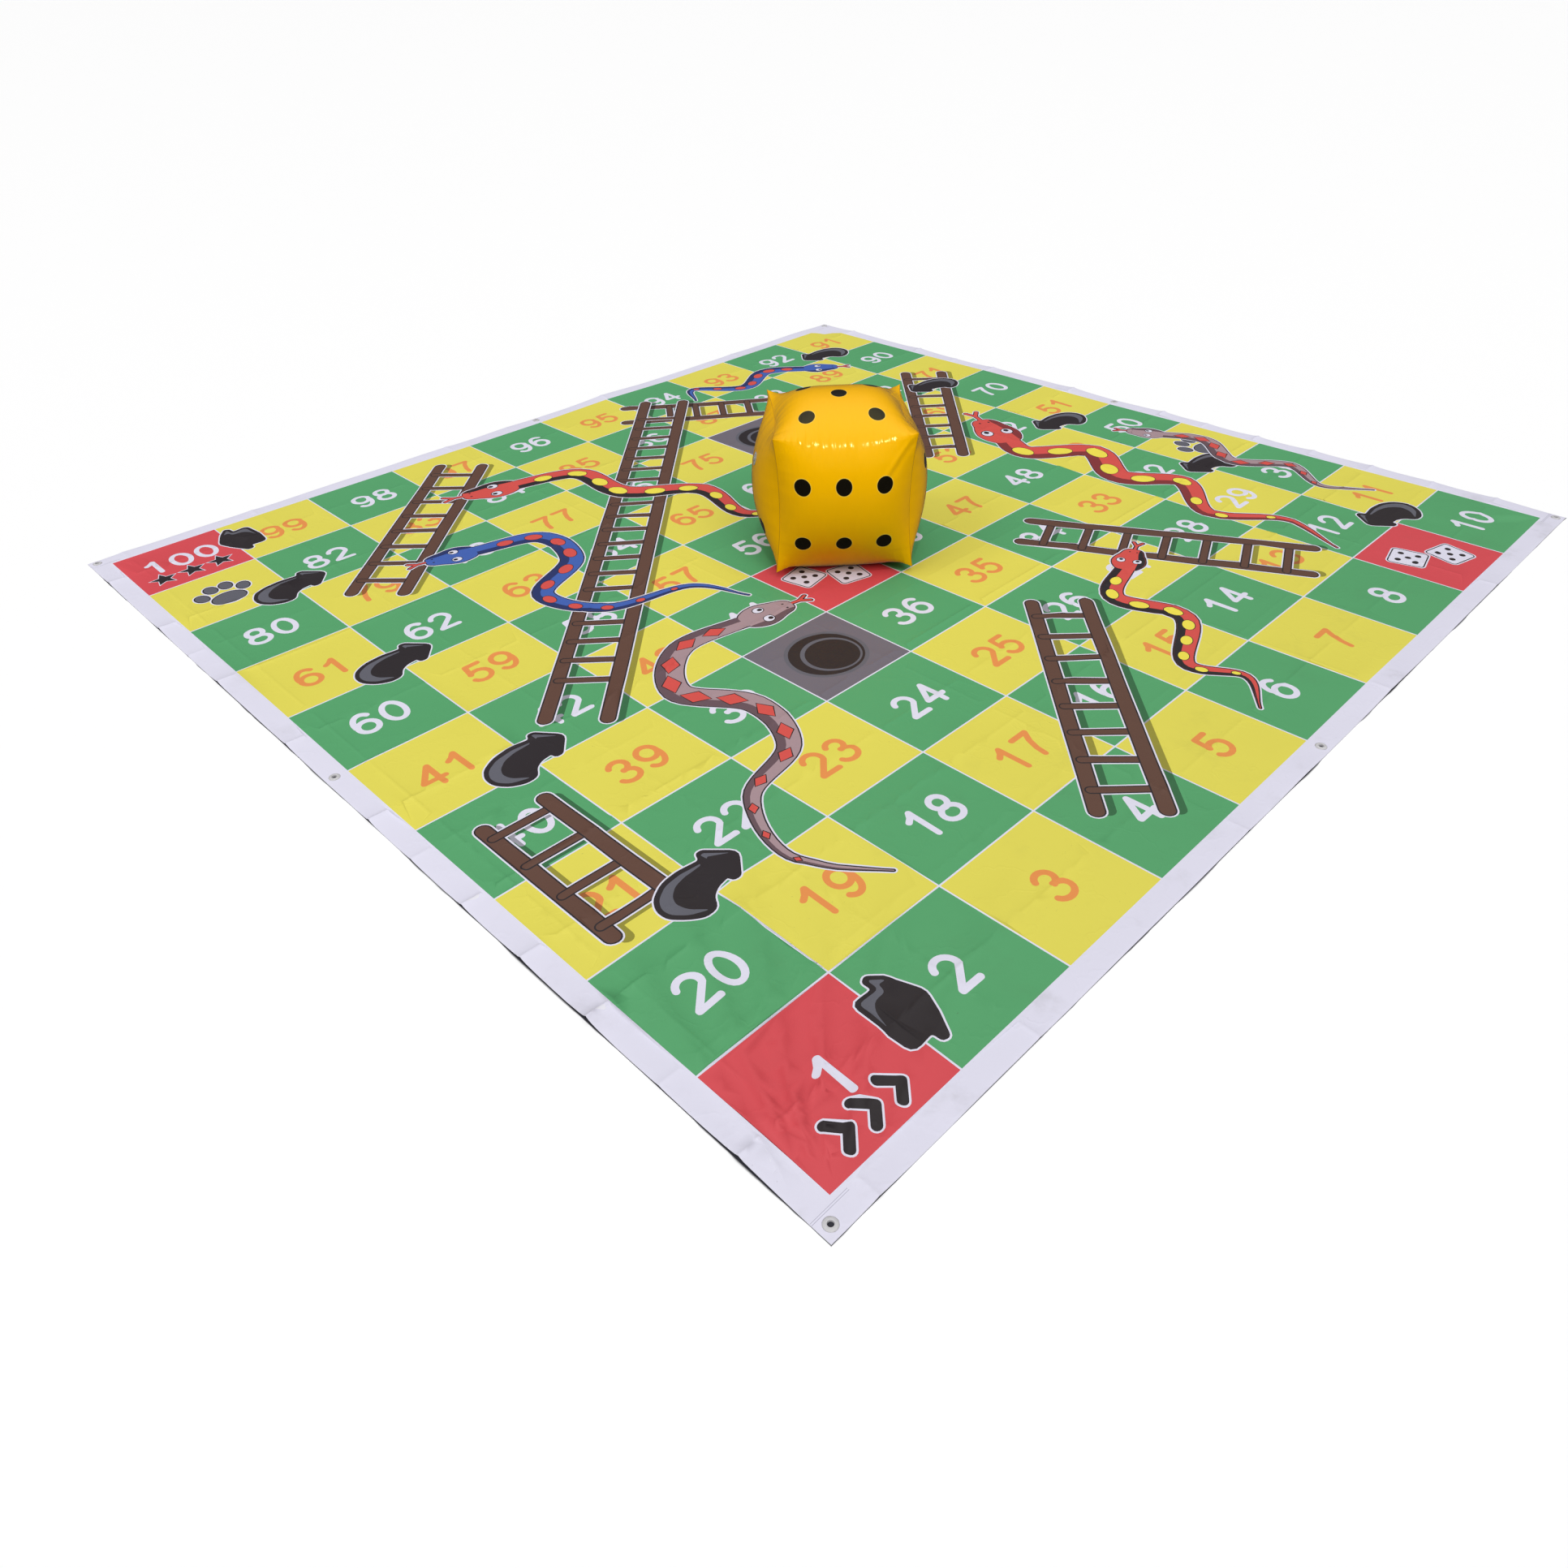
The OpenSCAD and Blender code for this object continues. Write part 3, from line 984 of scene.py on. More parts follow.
def lie_normal(x, y):
    """Upward normal of the mat's lie."""
    step = 0.8 * MM
    slope_x = (lie(x + step, y) - lie(x - step, y)) / (2 * step)
    slope_y = (lie(x, y + step) - lie(x, y - step)) / (2 * step)
    return Vector((-slope_x, -slope_y, 1)).normalized()


def even_steps(low, high, pitch):
    """Evenly spaced numbers from low to high."""
    count = max(1, round((high - low) / pitch))
    return [low + (high - low) * step / count for step in range(count + 1)]


def film_lines(low, high, folds, pitch=0.042):
    """Places of the grid lines across a film, closer at the folds and at the hems."""
    extra = [line + step for line, _ in folds for step in NEAR_FOLD]
    edges = [low + HEM_WIDTH, high - HEM_WIDTH]
    extra += [edge + step for edge in edges for step in (-3 * MM, 3 * MM)]
    extra += [edge for step in (2.1 * MM, 5 * MM, 10 * MM) for edge in (low + step, high - step)]
    lines = sorted(even_steps(low, high, pitch) + [x for x in extra if low < x < high])
    kept = lines[:1]
    for line in lines[1:]:
        if line - kept[-1] > 2 * MM:
            kept.append(line)
    kept[-1] = high
    return kept


def fan_points(low, high):
    """Points of a film that follow the folds of the front left corner."""
    corner = Vector(MAT_LOW[:2])
    for reach in even_steps(0.08, FAN_END, 0.05):
        for angle in range(8, 89):
            point = corner + reach * Vector((math.cos(math.radians(angle)), math.sin(math.radians(angle))))
            if low[0] < point.x < high[0] and low[1] < point.y < high[1]:
                yield point


def film_net(grid, shapes, holes):
    """Triangles over a grid that follow the edges of shapes and leave the holes open."""
    points = list(grid)
    faces = []
    for shape in shapes + holes:
        faces.append(list(range(len(points), len(points) + len(shape))))
        points += shape
    flat, _, triangles, _, _, covering = delaunay_2d_cdt(points, [], faces, 0, 2e-6, True)
    kept = [i for i, over in enumerate(covering) if not over or max(over) < len(shapes)]
    return flat, [triangles[i] for i in kept], [covering[i] for i in kept]


# Radius of the hole punched for an eyelet's barrel
PUNCH_RADIUS = 6.7 * MM


def laid_film(name, low, high, job):
    """A film that follows the mat's lie, printed above and bare below, as one closed mesh."""
    grid = [
        Vector((x, y))
        for x in film_lines(low[0], high[0], FOLDS_ALONG_Y)
        for y in film_lines(low[1], high[1], FOLDS_ALONG_X)
    ]
    grid += fan_points(low, high)
    holes = []
    for eyelet in EYELETS:
        if low[0] < eyelet.x < high[0] and low[1] < eyelet.y < high[1]:
            holes.append(oval(eyelet, PUNCH_RADIUS, PUNCH_RADIUS, steps=32))
    above = film_net(grid, job.shapes, holes)
    below = film_net(grid, [], holes)
    return film_mesh(name, above, below, high[2], high[2] - low[2], job)


def underside(x, y):
    """Height of the mat's coarser underside above flat. Away from the hems it hangs below the print."""
    height = lie(x, y)
    edge = min(MAT_WIDTH / 2 - abs(x), MAT_LENGTH / 2 - abs(y))
    inside = smooth_step(edge, HEM_WIDTH / 2, HEM_WIDTH)
    return height - inside * (0.7 * MM + 0.8 * max(0.0, height))


def place_key(point):
    """A point's place to a hundredth of a millimetre."""
    return round(point.x, 5), round(point.y, 5)


def film_mesh(name, above, below, z_top, thick, job):
    """Close the nets of a film's two sides into one mesh, and colour its faces."""
    flat, triangles, covering = above
    under, under_triangles, _ = below
    count = len(flat)
    vertices = [(p.x, p.y, z_top + lie(p.x, p.y)) for p in flat]
    z_under = z_top - thick
    vertices += [(p.x, p.y, z_under + underside(p.x, p.y)) for p in under]
    turned = [(c + count, b + count, a + count) for a, b, c in under_triangles]
    sides = {}
    for a, b, c in triangles:
        for edge in ((a, b), (b, c), (c, a)):
            if (edge[1], edge[0]) in sides:
                del sides[(edge[1], edge[0])]
            else:
                sides[edge] = True
    partner = {place_key(p): count + i for i, p in enumerate(under)}
    walls = [(b, a, partner[place_key(flat[a])], partner[place_key(flat[b])]) for a, b in sides]
    mesh = bpy.data.meshes.new(name)
    mesh.from_pydata(vertices, [], [tuple(t) for t in triangles] + turned + walls)
    top_normals = [lie_normal(p.x, p.y) for p in flat]
    under_normals = [-lie_normal(p.x, p.y) for p in under]
    colours = []
    normals = []
    paper = (*job.sheet.paper, 1.0)
    for corners, over in zip(triangles, covering):
        colours.extend((*job.colour_of(over), 1.0) * 3)
        normals.extend(top_normals[corner] for corner in corners)
    for corners in turned:
        colours.extend(paper * 3)
        normals.extend(under_normals[corner - count] for corner in corners)
    for a, b, _, _ in walls:
        colours.extend(paper * 4)
        out = Vector((flat[a].y - flat[b].y, flat[b].x - flat[a].x, 0)).normalized()
        normals.extend([out] * 4)
    layer = mesh.color_attributes.new("print", "FLOAT_COLOR", "CORNER")
    layer.data.foreach_set("color", colours)
    smooth_faces(mesh)
    mesh.normals_split_custom_set(normals)
    mesh.update()
    return mesh


# Materials


def printed_pvc():
    """Satin banner PVC with a print, fine scrim, packing creases, dirt on the margin, scuffs on the front
    rows where it is walked on, and painted shade that darkens the front rows.
    """
    finish = Finish("printed_pvc")
    place = finish.place()
    x, y, _ = finish.axes(place)
    ink = finish.node("ShaderNodeVertexColor", {"layer_name": "print"}, out="Color")
    edge_x = MAT_WIDTH / 2 - abs(x)
    edge_y = MAT_LENGTH / 2 - abs(y)
    edge = edge_x.least(edge_y)
    margin = 1 - finish.ease(edge, 0.042, 0.056)
    smudge = finish.ease(finish.grain(place, 7.0, 5.0, 0.62), 0.52, 0.78)
    streak = finish.ease(finish.grain(place, 34.0, 4.0, 0.6), 0.56, 0.74)
    worn = 0.45 + finish.ease(y, -1.2, -1.36) * 0.55
    dirt = margin * worn * (smudge * 0.5 + smudge * streak * 0.5)
    specks = finish.ease(finish.grain(place, 160.0, 2.0), 0.74, 0.8)
    specked = finish.mix(specks * 0.2, ink, (0.1, 0.1, 0.08, 1))
    # Painted shade: the front rows are darkened a little, with smudges mixed into the darkening; the scuffs
    # laid over them are marks.
    front_rows = 1 - finish.ease(y, -1.3, -0.4)
    front_shade_and_smudge = front_rows * (0.05 + smudge * 0.08)
    scuff = finish.ease(finish.grain(finish.vector(x * 46.0, y * 120.0), 1.0, 3.0), 0.74, 0.8) * front_rows
    shaded_and_scuffed = finish.mix(front_shade_and_smudge + scuff * 0.3, specked, (0.08, 0.08, 0.05, 1))
    coloured = finish.mix(dirt * 0.5, shaded_and_scuffed, (0.3, 0.29, 0.28, 1))
    scrim = (x * 2600.0).math("SINE", x * 2600.0) * (y * 2600.0).math("SINE", y * 2600.0)
    crumple = finish.grain(place, 11.0, 6.0, 0.55)
    creased = abs(finish.grain(place, 5.0, 4.0, 0.6) - 0.5)
    crease = 1 - finish.ease(creased, 0.0, 0.02)
    height = scrim * 0.012 + crumple * 0.7 + crease * 0.14
    finish.set(
        Base_Color=coloured,
        Roughness=0.4 + finish.grain(place, 9.0, 4.0) * 0.16 + dirt * 0.1,
        Normal=finish.bump(height, 0.0022, 0.6),
        Specular_IOR_Level=0.3,
    )
    return finish.material


def white_pvc():
    """Unprinted side of the banner PVC."""
    finish = Finish("white_pvc")
    place = finish.place()
    shade = finish.grain(place, 18.0, 4.0)
    finish.set(
        Base_Color=finish.mix(shade * 0.3, (0.8, 0.79, 0.86, 1), (0.62, 0.61, 0.64, 1)),
        Roughness=0.42 + shade * 0.18,
        Normal=finish.bump(finish.grain(place, 120.0, 3.0), 0.0004),
    )
    return finish.material


def eyelet_plastic():
    """Milky clear plastic."""
    finish = Finish("eyelet_plastic")
    place = finish.place()
    cloud = finish.grain(place, 240.0, 3.0)
    finish.set(
        Base_Color=finish.mix(cloud * 0.5, (0.78, 0.77, 0.79, 1), (0.6, 0.59, 0.6, 1)),
        Roughness=0.24 + cloud * 0.14,
        Normal=finish.bump(finish.grain(place, 900.0, 2.0), 0.0001),
        Transmission_Weight=0.25,
        IOR=1.46,
    )
    return finish.material


# Pips of each face, as shares of the way from its middle to its rim
PIPS = {
    "top": ((-0.53, 0.31), (0.51, 0.31), (-0.02, -0.11), (-0.53, -0.6), (0.49, -0.6)),
    "front": ((-0.65, 0.37), (-0.04, 0.37), (0.57, 0.37), (-0.65, -0.49), (-0.03, -0.49), (0.58, -0.49)),
    "bottom": ((-0.5, 0.5), (0.5, -0.5)),
    "back": ((0.0, 0.0),),
    "left": ((0.55, -0.5), (0.0, 0.0), (-0.55, 0.5)),
    "right": ((-0.5, 0.42), (0.5, 0.42), (-0.5, -0.5), (0.5, -0.5)),
}


def die_film(name, pips, span, die, bends=()):
    """Glossy PVC film with printed pips and gathered bends, at places in metres on the film's UV map."""
    finish = Finish(name)
    across, along, _ = finish.axes(finish.place("film"))
    wide = across * span[0]
    tall = along * span[1]
    near = None
    for x, y in pips:
        away_x = wide - x
        away_y = tall - y
        away = (away_x * away_x + away_y * away_y) ** 0.5
        near = away if near is None else near.least(away)
    radius = die.pip / 2
    pip = 1 - finish.ease(near, radius - 0.4 * MM, radius + 0.4 * MM)
    rim = 1 - finish.ease(near, radius + die.pip_rim - 0.5 * MM, radius + die.pip_rim + 0.5 * MM)
    place = finish.place()
    cloud = finish.grain(place, 9.0, 3.0)
    film = finish.mix(cloud * 0.1, (*die.film, 1), (0.85, 0.38, 0.0, 1))
    rimmed = finish.mix(rim * 0.5, film, (*die.rim_ink, 1))
    printed = finish.mix(pip, rimmed, (*die.pip_ink, 1))
    ripple = finish.grain(place, 12.0, 3.0, 0.5)
    streak = finish.grain(finish.vector(wide * 130.0, tall * 16.0), 1.0, 2.0, 0.55)
    height = ripple + streak * 0.3
    for bend in bends:
        beside = 1 - finish.ease(abs(tall - bend), 0.015, 0.085)
        height = height + streak * beside * (0.25 + 0.75 * (1 - finish.ease(across, 0.08, 0.55)))
    finish.set(
        Base_Color=printed,
        Roughness=0.06 + finish.grain(place, 30.0, 4.0) * 0.08,
        Normal=finish.bump(height, 0.0025, 0.6),
        Specular_IOR_Level=0.45,
        Specular_Tint=(1, 0.86, 0.35, 1),
    )
    return finish.material


def weld_film(die):
    """Welded film of the seams, darker where two layers meet."""
    finish = Finish("weld_film")
    place = finish.place()
    shade = finish.grain(place, 60.0, 3.0)
    film = Vector(die.film)
    finish.set(
        Base_Color=finish.mix(shade, (*film * 0.55, 1), (*film * 0.8, 1)),
        Roughness=0.25 + shade * 0.1,
    )
    return finish.material


def valve_pvc(name, light, dark):
    """Soft clear PVC of the valve."""
    finish = Finish(name)
    place = finish.place()
    cloud = finish.grain(place, 180.0, 3.0)
    finish.set(
        Base_Color=finish.mix(cloud, (*light, 1), (*dark, 1)),
        Roughness=0.22 + cloud * 0.12,
        Transmission_Weight=0.3,
        IOR=1.52,
        Normal=finish.bump(cloud, 0.0002),
    )
    return finish.material


# Pieces


def put(name, data):
    """A new object in the scene."""
    item = bpy.data.objects.new(name, data)
    bpy.context.scene.collection.objects.link(item)
    return item


def show(name, mesh, material, body, nodes):
    """Put a finished mesh in the scene as a piece that stands for CAD nodes."""
    piece = put(name, mesh)
    mesh.materials.clear()
    mesh.materials.append(material)
    if body:
        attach(piece, body)
    if nodes:
        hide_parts(*nodes)
    return piece


def mesh_from(build, name):
    """A mesh from what was built, with its faces turned outwards."""
    bmesh.ops.recalc_face_normals(build, faces=build.faces[:])
    mesh = bpy.data.meshes.new(name)
    build.to_mesh(mesh)
    build.free()
    return mesh


def lathe_mesh(name, profile, steps=48, closed=True):
    """A mesh turned about Z. profile holds radius and height. A closed one makes a ring."""
    build = bmesh.new()
    loop = [build.verts.new((r, 0, z)) for r, z in profile]
    for a, b in zip(loop, loop[1:]):
        build.edges.new((a, b))
    if closed:
        build.edges.new((loop[-1], loop[0]))
    geometry = build.verts[:] + build.edges[:]
    bmesh.ops.spin(
        build, geom=geometry, cent=(0, 0, 0), axis=(0, 0, 1), dvec=(0, 0, 0), angle=math.tau, steps=steps
    )
    bmesh.ops.remove_doubles(build, verts=build.verts[:], dist=1e-6)
    return mesh_from(build, name)


def smooth_faces(mesh):
    """Smooth shading on every face."""
    mesh.polygons.foreach_set("use_smooth", [True] * len(mesh.polygons))


def shade_smooth(mesh, angle=math.radians(40)):
    """Smooth shading with sharp edges where faces meet at more than an angle."""
    smooth_faces(mesh)
    mesh.set_sharp_from_angle(angle=angle)


# Steps round a corner of a profile
ROUND_STEPS = 4


def rounded(corners, radius, steps=ROUND_STEPS):
    """Profile through corners, each rounded off. The profile is closed."""
    points = []
    count = len(corners)
    for i, corner in enumerate(corners):
        here = Vector(corner)
        before = Vector(corners[i - 1]) - here
        after = Vector(corners[(i + 1) % count]) - here
        cut = min(radius, before.length * 0.45, after.length * 0.45)
        start = here + before.normalized() * cut
        end = here + after.normalized() * cut
        for step in range(steps + 1):
            t = step / steps
            points.append(tuple(start * (1 - t) ** 2 + here * 2 * t * (1 - t) + end * t * t))
    return points


class Grower:
    """A Geometry Nodes tree that ends in one finished geometry."""

    def __init__(self, name, **inputs):
        self.tree = bpy.data.node_groups.new(name, "GeometryNodeTree")
        face = self.tree.interface
        for label, kind in inputs.items():
            face.new_socket(label, in_out="INPUT", socket_type=f"NodeSocket{kind}")
        face.new_socket("Geometry", in_out="OUTPUT", socket_type="NodeSocketGeometry")
        self.given = self.tree.nodes.new("NodeGroupInput")

    def node(self, kind, **sockets):
        """Add a node and fill its sockets, with _ for a space in their names."""
        node = self.tree.nodes.new(kind)
        for key, item in sockets.items():
            feed(self.tree, node.inputs[key.replace("_", " ")], item)
        return node

    def finish(self, geometry):
        """Make a geometry real, paint it with the material called Finish and end the tree."""
        real = self.node("GeometryNodeRealizeInstances", Geometry=geometry)
        paint = self.node("GeometryNodeSetMaterial", Geometry=real.outputs[0])
        feed(self.tree, paint.inputs["Material"], self.given.outputs["Finish"])
        self.node("NodeGroupOutput", Geometry=paint.outputs[0])
        return self.tree


def repeat_tree(name):
    """Geometry Nodes that put one shape on every point."""
    grower = Grower(name, Points="Geometry", Shape="Object", Size="Float", Finish="Material")
    given = grower.given.outputs
    shape = grower.node("GeometryNodeObjectInfo", Object=given["Shape"]).outputs["Geometry"]
    copies = grower.node("GeometryNodeInstanceOnPoints", Points=given["Points"], Instance=shape)
    feed(grower.tree, copies.inputs["Scale"], given["Size"])
    return grower.finish(copies.outputs[0])


def bead_tree(name):
    """Geometry Nodes that sweep a round bead along curves."""
    grower = Grower(name, Seams="Geometry", Radius="Float", Finish="Material")
    given = grower.given.outputs
    line = grower.node("GeometryNodeMeshToCurve", Mesh=given["Seams"]).outputs[0]
    ring = grower.node("GeometryNodeCurvePrimitiveCircle", Resolution=8, Radius=given["Radius"]).outputs[0]
    bead = grower.node("GeometryNodeCurveToMesh", Curve=line, Profile_Curve=ring, Fill_Caps=True)
    return grower.finish(bead.outputs[0])


def grown_mesh(name, source, tree, inputs):
    """Run a Geometry Nodes tree on a mesh and give the result as a plain mesh."""
    host = put(f"{name}_host", source)
    modifier = host.modifiers.new("grow", "NODES")
    modifier.node_group = tree
    for item in tree.interface.items_tree:
        if item.in_out == "INPUT" and item.name in inputs:
            modifier[item.identifier] = inputs[item.name]
    graph = bpy.context.evaluated_depsgraph_get()
    mesh = bpy.data.meshes.new_from_object(host.evaluated_get(graph))
    mesh.name = name
    host.modifiers.remove(modifier)
    bpy.data.objects.remove(host)
    return mesh


def lay_on_eyelets(name, profile, material, slot):
    """One turned shape on every eyelet's place, as a plain mesh."""
    shape_mesh = lathe_mesh(f"{name}_shape", profile)
    shade_smooth(shape_mesh)
    shape = put(f"{name}_shape", shape_mesh)
    points = bpy.data.meshes.new(f"{name}_points")
    points.from_pydata([(p.x, p.y, 0) for p in EYELETS], [], [])
    inputs = {"Shape": shape, "Size": 1.0, "Finish": material}
    mesh = grown_mesh(name, points, repeat_tree(name), inputs)
    bpy.data.objects.remove(shape)
    nodes = [f"{slot}_{place}" for place in EYELET_PLACES]
    return show(name, mesh, material, "mat", nodes)


def drawn_in(share):
    """How far a seam is drawn in at a share of the way from its middle to its corner."""
    return SEAM_BOW * (1 - share ** 2)


def swelled(share):
    """How far a face has swelled at a share of the way from its middle to a seam."""
    way_in = 1 - share ** 2
    return way_in * (1 + DIE_FULLNESS) / (1 + DIE_FULLNESS * way_in)


def panel_point(u, v, half):
    """Point of a face-up side panel, as its solid has it."""
    rise = half - drawn_in(u) - drawn_in(v) + (DIE_CROWN + 2 * SEAM_BOW) * swelled(u) * swelled(v)
    return Vector((u * (half - drawn_in(v)), v * (half - drawn_in(u)), rise))


def band_point(u, turn, v, half, stand_out=0.0):
    """Point of the band, as its solid has it, moved outwards by a distance."""
    square = Vector((v * half, half - drawn_in(v)))
    circle = (half + DIE_CROWN) * Vector((math.sin(math.pi / 4 * v), math.cos(math.pi / 4 * v)))
    lie_flat = square.lerp(circle, 1 - abs(u) ** BAND_FLARE)
    lie_flat += stand_out * lie_flat.normalized()
    y = lie_flat.x * math.cos(turn) - lie_flat.y * math.sin(turn)
    z = lie_flat.x * math.sin(turn) + lie_flat.y * math.cos(turn)
    return Vector((u * (half - drawn_in(v)), y, max(z, -half - CORNER_LIFT)))


# Turns of the band's four stretches and of the two side panels
BAND_TURNS = {"top": 0, "front": 90, "bottom": 180, "back": 270}
PANEL_TURNS = {"left": 270, "right": 90}
FINE_STRETCHES = ("top", "front")


def die_matrix():
    """Place of the die on the mat."""
    return Matrix.Translation((DIE_MIDDLE.x, DIE_MIDDLE.y, DIE_MIDDLE_Z)) @ Matrix.Rotation(DIE_TURN, 4, "Z")


def panel_matrix(panel):
    """Turn and shift that bring a face-up side panel to its place on the mat."""
    spin = Matrix.Rotation(math.radians(PANEL_TURNS[panel]), 4, "Z")
    return die_matrix() @ spin @ Matrix.Rotation(math.pi / 2, 4, "X")


def eased_shares(steps):
    """Shares from -1 to 1, closer together at the ends."""
    return [math.sin(math.pi / 2 * (2 * step / steps - 1)) for step in range(steps + 1)]


def seam_pucker(along, inward, seed):
    """Puckers of the film beside a seam. along is the share of the seam, inward the distance from it."""
    ripple = noise.noise(Vector((along * 8, seed, 0.4))) + 0.6 * noise.noise(Vector((along * 19, seed, 2.4)))
    rise = inward / 0.012
    depth = rise * math.exp(1 - rise) if rise < 1 else math.exp(-(inward - 0.012) / 0.034)
    return ripple * depth * (1 - along ** 6)


# Gathers where the band bends from the top to the front: share across, height, width and lean
GATHERS = (
    (-0.93, 1.2, 0.03, 0.05),
    (-0.85, 1.4, 0.032, 0.1),
    (-0.76, 1.2, 0.03, 0.16),
    (-0.68, 1.45, 0.034, 0.22),
    (-0.59, 1.2, 0.03, 0.24),
    (-0.47, 1.2, 0.03, 0.2),
    (-0.38, 1.1, 0.028, -0.1),
    (-0.25, 0.95, 0.026, 0.04),
    (-0.14, 0.5, 0.028, -0.05),
    (0.02, 0.8, 0.026, 0.04),
    (0.11, 0.95, 0.026, -0.08),
    (0.33, 0.4, 0.026, 0.02),
    (0.5, 0.6, 0.026, 0.06),
    (0.61, 0.5, 0.026, -0.04),
    (0.79, 0.85, 0.024, -0.14),
    (0.9, 1.1, 0.024, -0.12),
)


def gather(u, past_bend, seed=0.0):
    """Height of the small gathers over a bend of the band, in metres."""
    if abs(past_bend) > 0.6:
        return 0.0
    total = 0.0
    for place, high, wide, lean in GATHERS:
        shift = 0.05 * noise.noise(Vector((place * 7, seed, 1.5))) if seed else 0.0
        line = place + shift + lean * past_bend
        reach = 0.16 + 0.1 * noise.noise(Vector((place * 5, seed, 4.5)))
        total += high * bell(u - line, wide) * bell(past_bend - 0.1 * (abs(place) - 0.5), reach)
    return total * 0.9 * MM


def front_fold(u, past_bend):
    """The soft brow across the front and the fold from its right corner, in metres."""
    brow = 0.5 * bell(past_bend - 0.48 + 0.42 * u * u, 0.13) * (1 - smooth_step(abs(u), 0.75, 0.98))
    along = ((1 - u) * 0.45 + past_bend * 0.62) / math.hypot(0.45, 0.62)
    off = ((1 - u) * 0.62 - past_bend * 0.45) / math.hypot(0.45, 0.62)
    strength = smooth_step(along, 0.02, 0.12) * (1 - smooth_step(along, 0.45, 1.0))
    fold = strength * (3.0 * bell(off - 0.025, 0.036) - 2.4 * bell(off + 0.04, 0.04))
    return (brow + fold) * MM


def band_stand_out(u, stretch, v, die):
    """How far the band's film stands out from a smooth form."""
    order = list(BAND_TURNS).index(stretch)
    total = 0.0
    for side in (1, -1):
        total += die.pucker * seam_pucker(v, (1 - side * u) * DIE_HALF, order * 7.3 + side * 2.1)
        bend = order if side > 0 else (order + 1) % 4
        total += gather(u, side * v - 1 if side > 0 else v + 1, 0.0 if bend == 1 else bend + 2.7)
    if stretch in FINE_STRETCHES:
        total += front_fold(u, 1 - v if stretch == "front" else -1 - v)
    return total * smooth_step(1 - abs(u), 0.0, 0.02)


def ring_place(share):
    """Stretch of the band and the place on it, at a share of the way round counted in stretches."""
    order = math.floor(share)
    return list(BAND_TURNS)[order % len(BAND_TURNS)], 1 - 2 * (share - order)


def eased_band_point(u, share, half, stand_out):
    """Point of the band with its bends eased, which the film does between its stiff seams."""
    spread = 0.03 * smooth_step(1 - abs(u), 0.0, 0.25)
    total = Vector((0, 0, 0))
    for step, weight in ((-2, 1), (-1, 4), (0, 6), (1, 4), (2, 1)):
        stretch, v = ring_place(share + step * spread)
        total += weight / 16 * band_point(u, math.radians(BAND_TURNS[stretch]), v, half, stand_out)
    return total


def film_shell(name, vertices, outer, rim):
    """A film's mesh: its outer faces, the same turned inwards on the second layer, and its rim."""
    layer = len(vertices) // 2
    inner = [tuple(corner + layer for corner in face[::-1]) for face in outer]
    closing = [(b, a, a + layer, b + layer) for a, b in rim]
    mesh = bpy.data.meshes.new(name)
    mesh.from_pydata(vertices, [], outer + inner + closing)
    smooth_faces(mesh)
    return mesh


def band_mesh(die):
    """The band's film, outer and inner side, closed along both seams, with a UV map of its length."""
    across = eased_shares(die.steps)
    ring = []
    for stretch in BAND_TURNS:
        steps = die.steps * 3 // (4 if stretch in FINE_STRETCHES else 8)
        ring += [(stretch, -share) for share in eased_shares(steps)[:-1]]
    lengths = [list(BAND_TURNS).index(stretch) + (1 - v) / 2 for stretch, v in ring]
    place = die_matrix()
    out = [band_stand_out(u, stretch, v, die) for u in across for stretch, v in ring]
    spots = [(u, length) for u in across for length in lengths]
    vertices = [
        place @ eased_band_point(u, length, DIE_HALF - inset, stand_out)
        for inset in (0.0, FILM_THICK)
        for (u, length), stand_out in zip(spots, out)
    ]
    count = len(ring)
    layer = count * len(across)

    def at(i, j):
        return i * count + j % count

    outer = [
        (at(i, j), at(i, j + 1), at(i + 1, j + 1), at(i + 1, j))
        for i in range(len(across) - 1)
        for j in range(count)
    ]
    last = len(across) - 1
    rim = [(at(0, j), at(0, j + 1)) for j in range(count)]
    rim += [(at(last, j + 1), at(last, j)) for j in range(count)]
    mesh = film_shell("die_band_film", vertices, outer, rim)
    chart = mesh.uv_layers.new(name="film")
    for face in mesh.polygons:
        steps = [mesh.loops[k].vertex_index % layer % count for k in face.loop_indices]
        wraps = max(steps) - min(steps) > count // 2
        for k, step in zip(face.loop_indices, steps):
            length = len(BAND_TURNS) if wraps and step < count // 2 else lengths[step]
            u = across[mesh.loops[k].vertex_index % layer // count]
            chart.data[k].uv = ((u + 1) / 2, length / len(BAND_TURNS))
    mesh.update()
    return mesh


def panel_mesh(panel, die):
    """A side panel's film, outer and inner side, closed round its rim, with a UV map of its shares."""
    shares = eased_shares(die.steps * 2 // 3)
    side = len(shares)
    steps = side - 1
    place = panel_matrix(panel)
    seed = 40.0 if panel == "left" else 60.0
    vertices = []
    for inset in (0.0, FILM_THICK):
        for u in shares:
            for v in shares:
                point = panel_point(u, v, DIE_HALF - inset)
                for along, over, edge in ((u, v, 1), (u, v, -1), (v, u, 1.5), (v, u, -1.5)):
                    inward = (1 - math.copysign(1, edge) * over) * DIE_HALF
                    point.z += die.pucker * seam_pucker(along, inward, seed + edge * 3.1)
                vertices.append(place @ point)
    layer = side * side
    outer = []
    for i in range(steps):
        for j in range(steps):
            a = i * side + j
            outer.append((a, a + side, a + side + 1, a + 1))
    loop = [i * side for i in range(steps)] + [steps * side + j for j in range(steps)]
    loop += [i * side + steps for i in range(steps, 0, -1)] + list(range(steps, 0, -1))
    mesh = film_shell(f"die_side_{panel}", vertices, outer, list(zip(loop, loop[1:] + loop[:1])))
    chart = mesh.uv_layers.new(name="film")
    for loop_item in mesh.loops:
        index = loop_item.vertex_index % layer
        chart.data[loop_item.index].uv = ((shares[index // side] + 1) / 2, (shares[index % side] + 1) / 2)
    mesh.update()
    return mesh


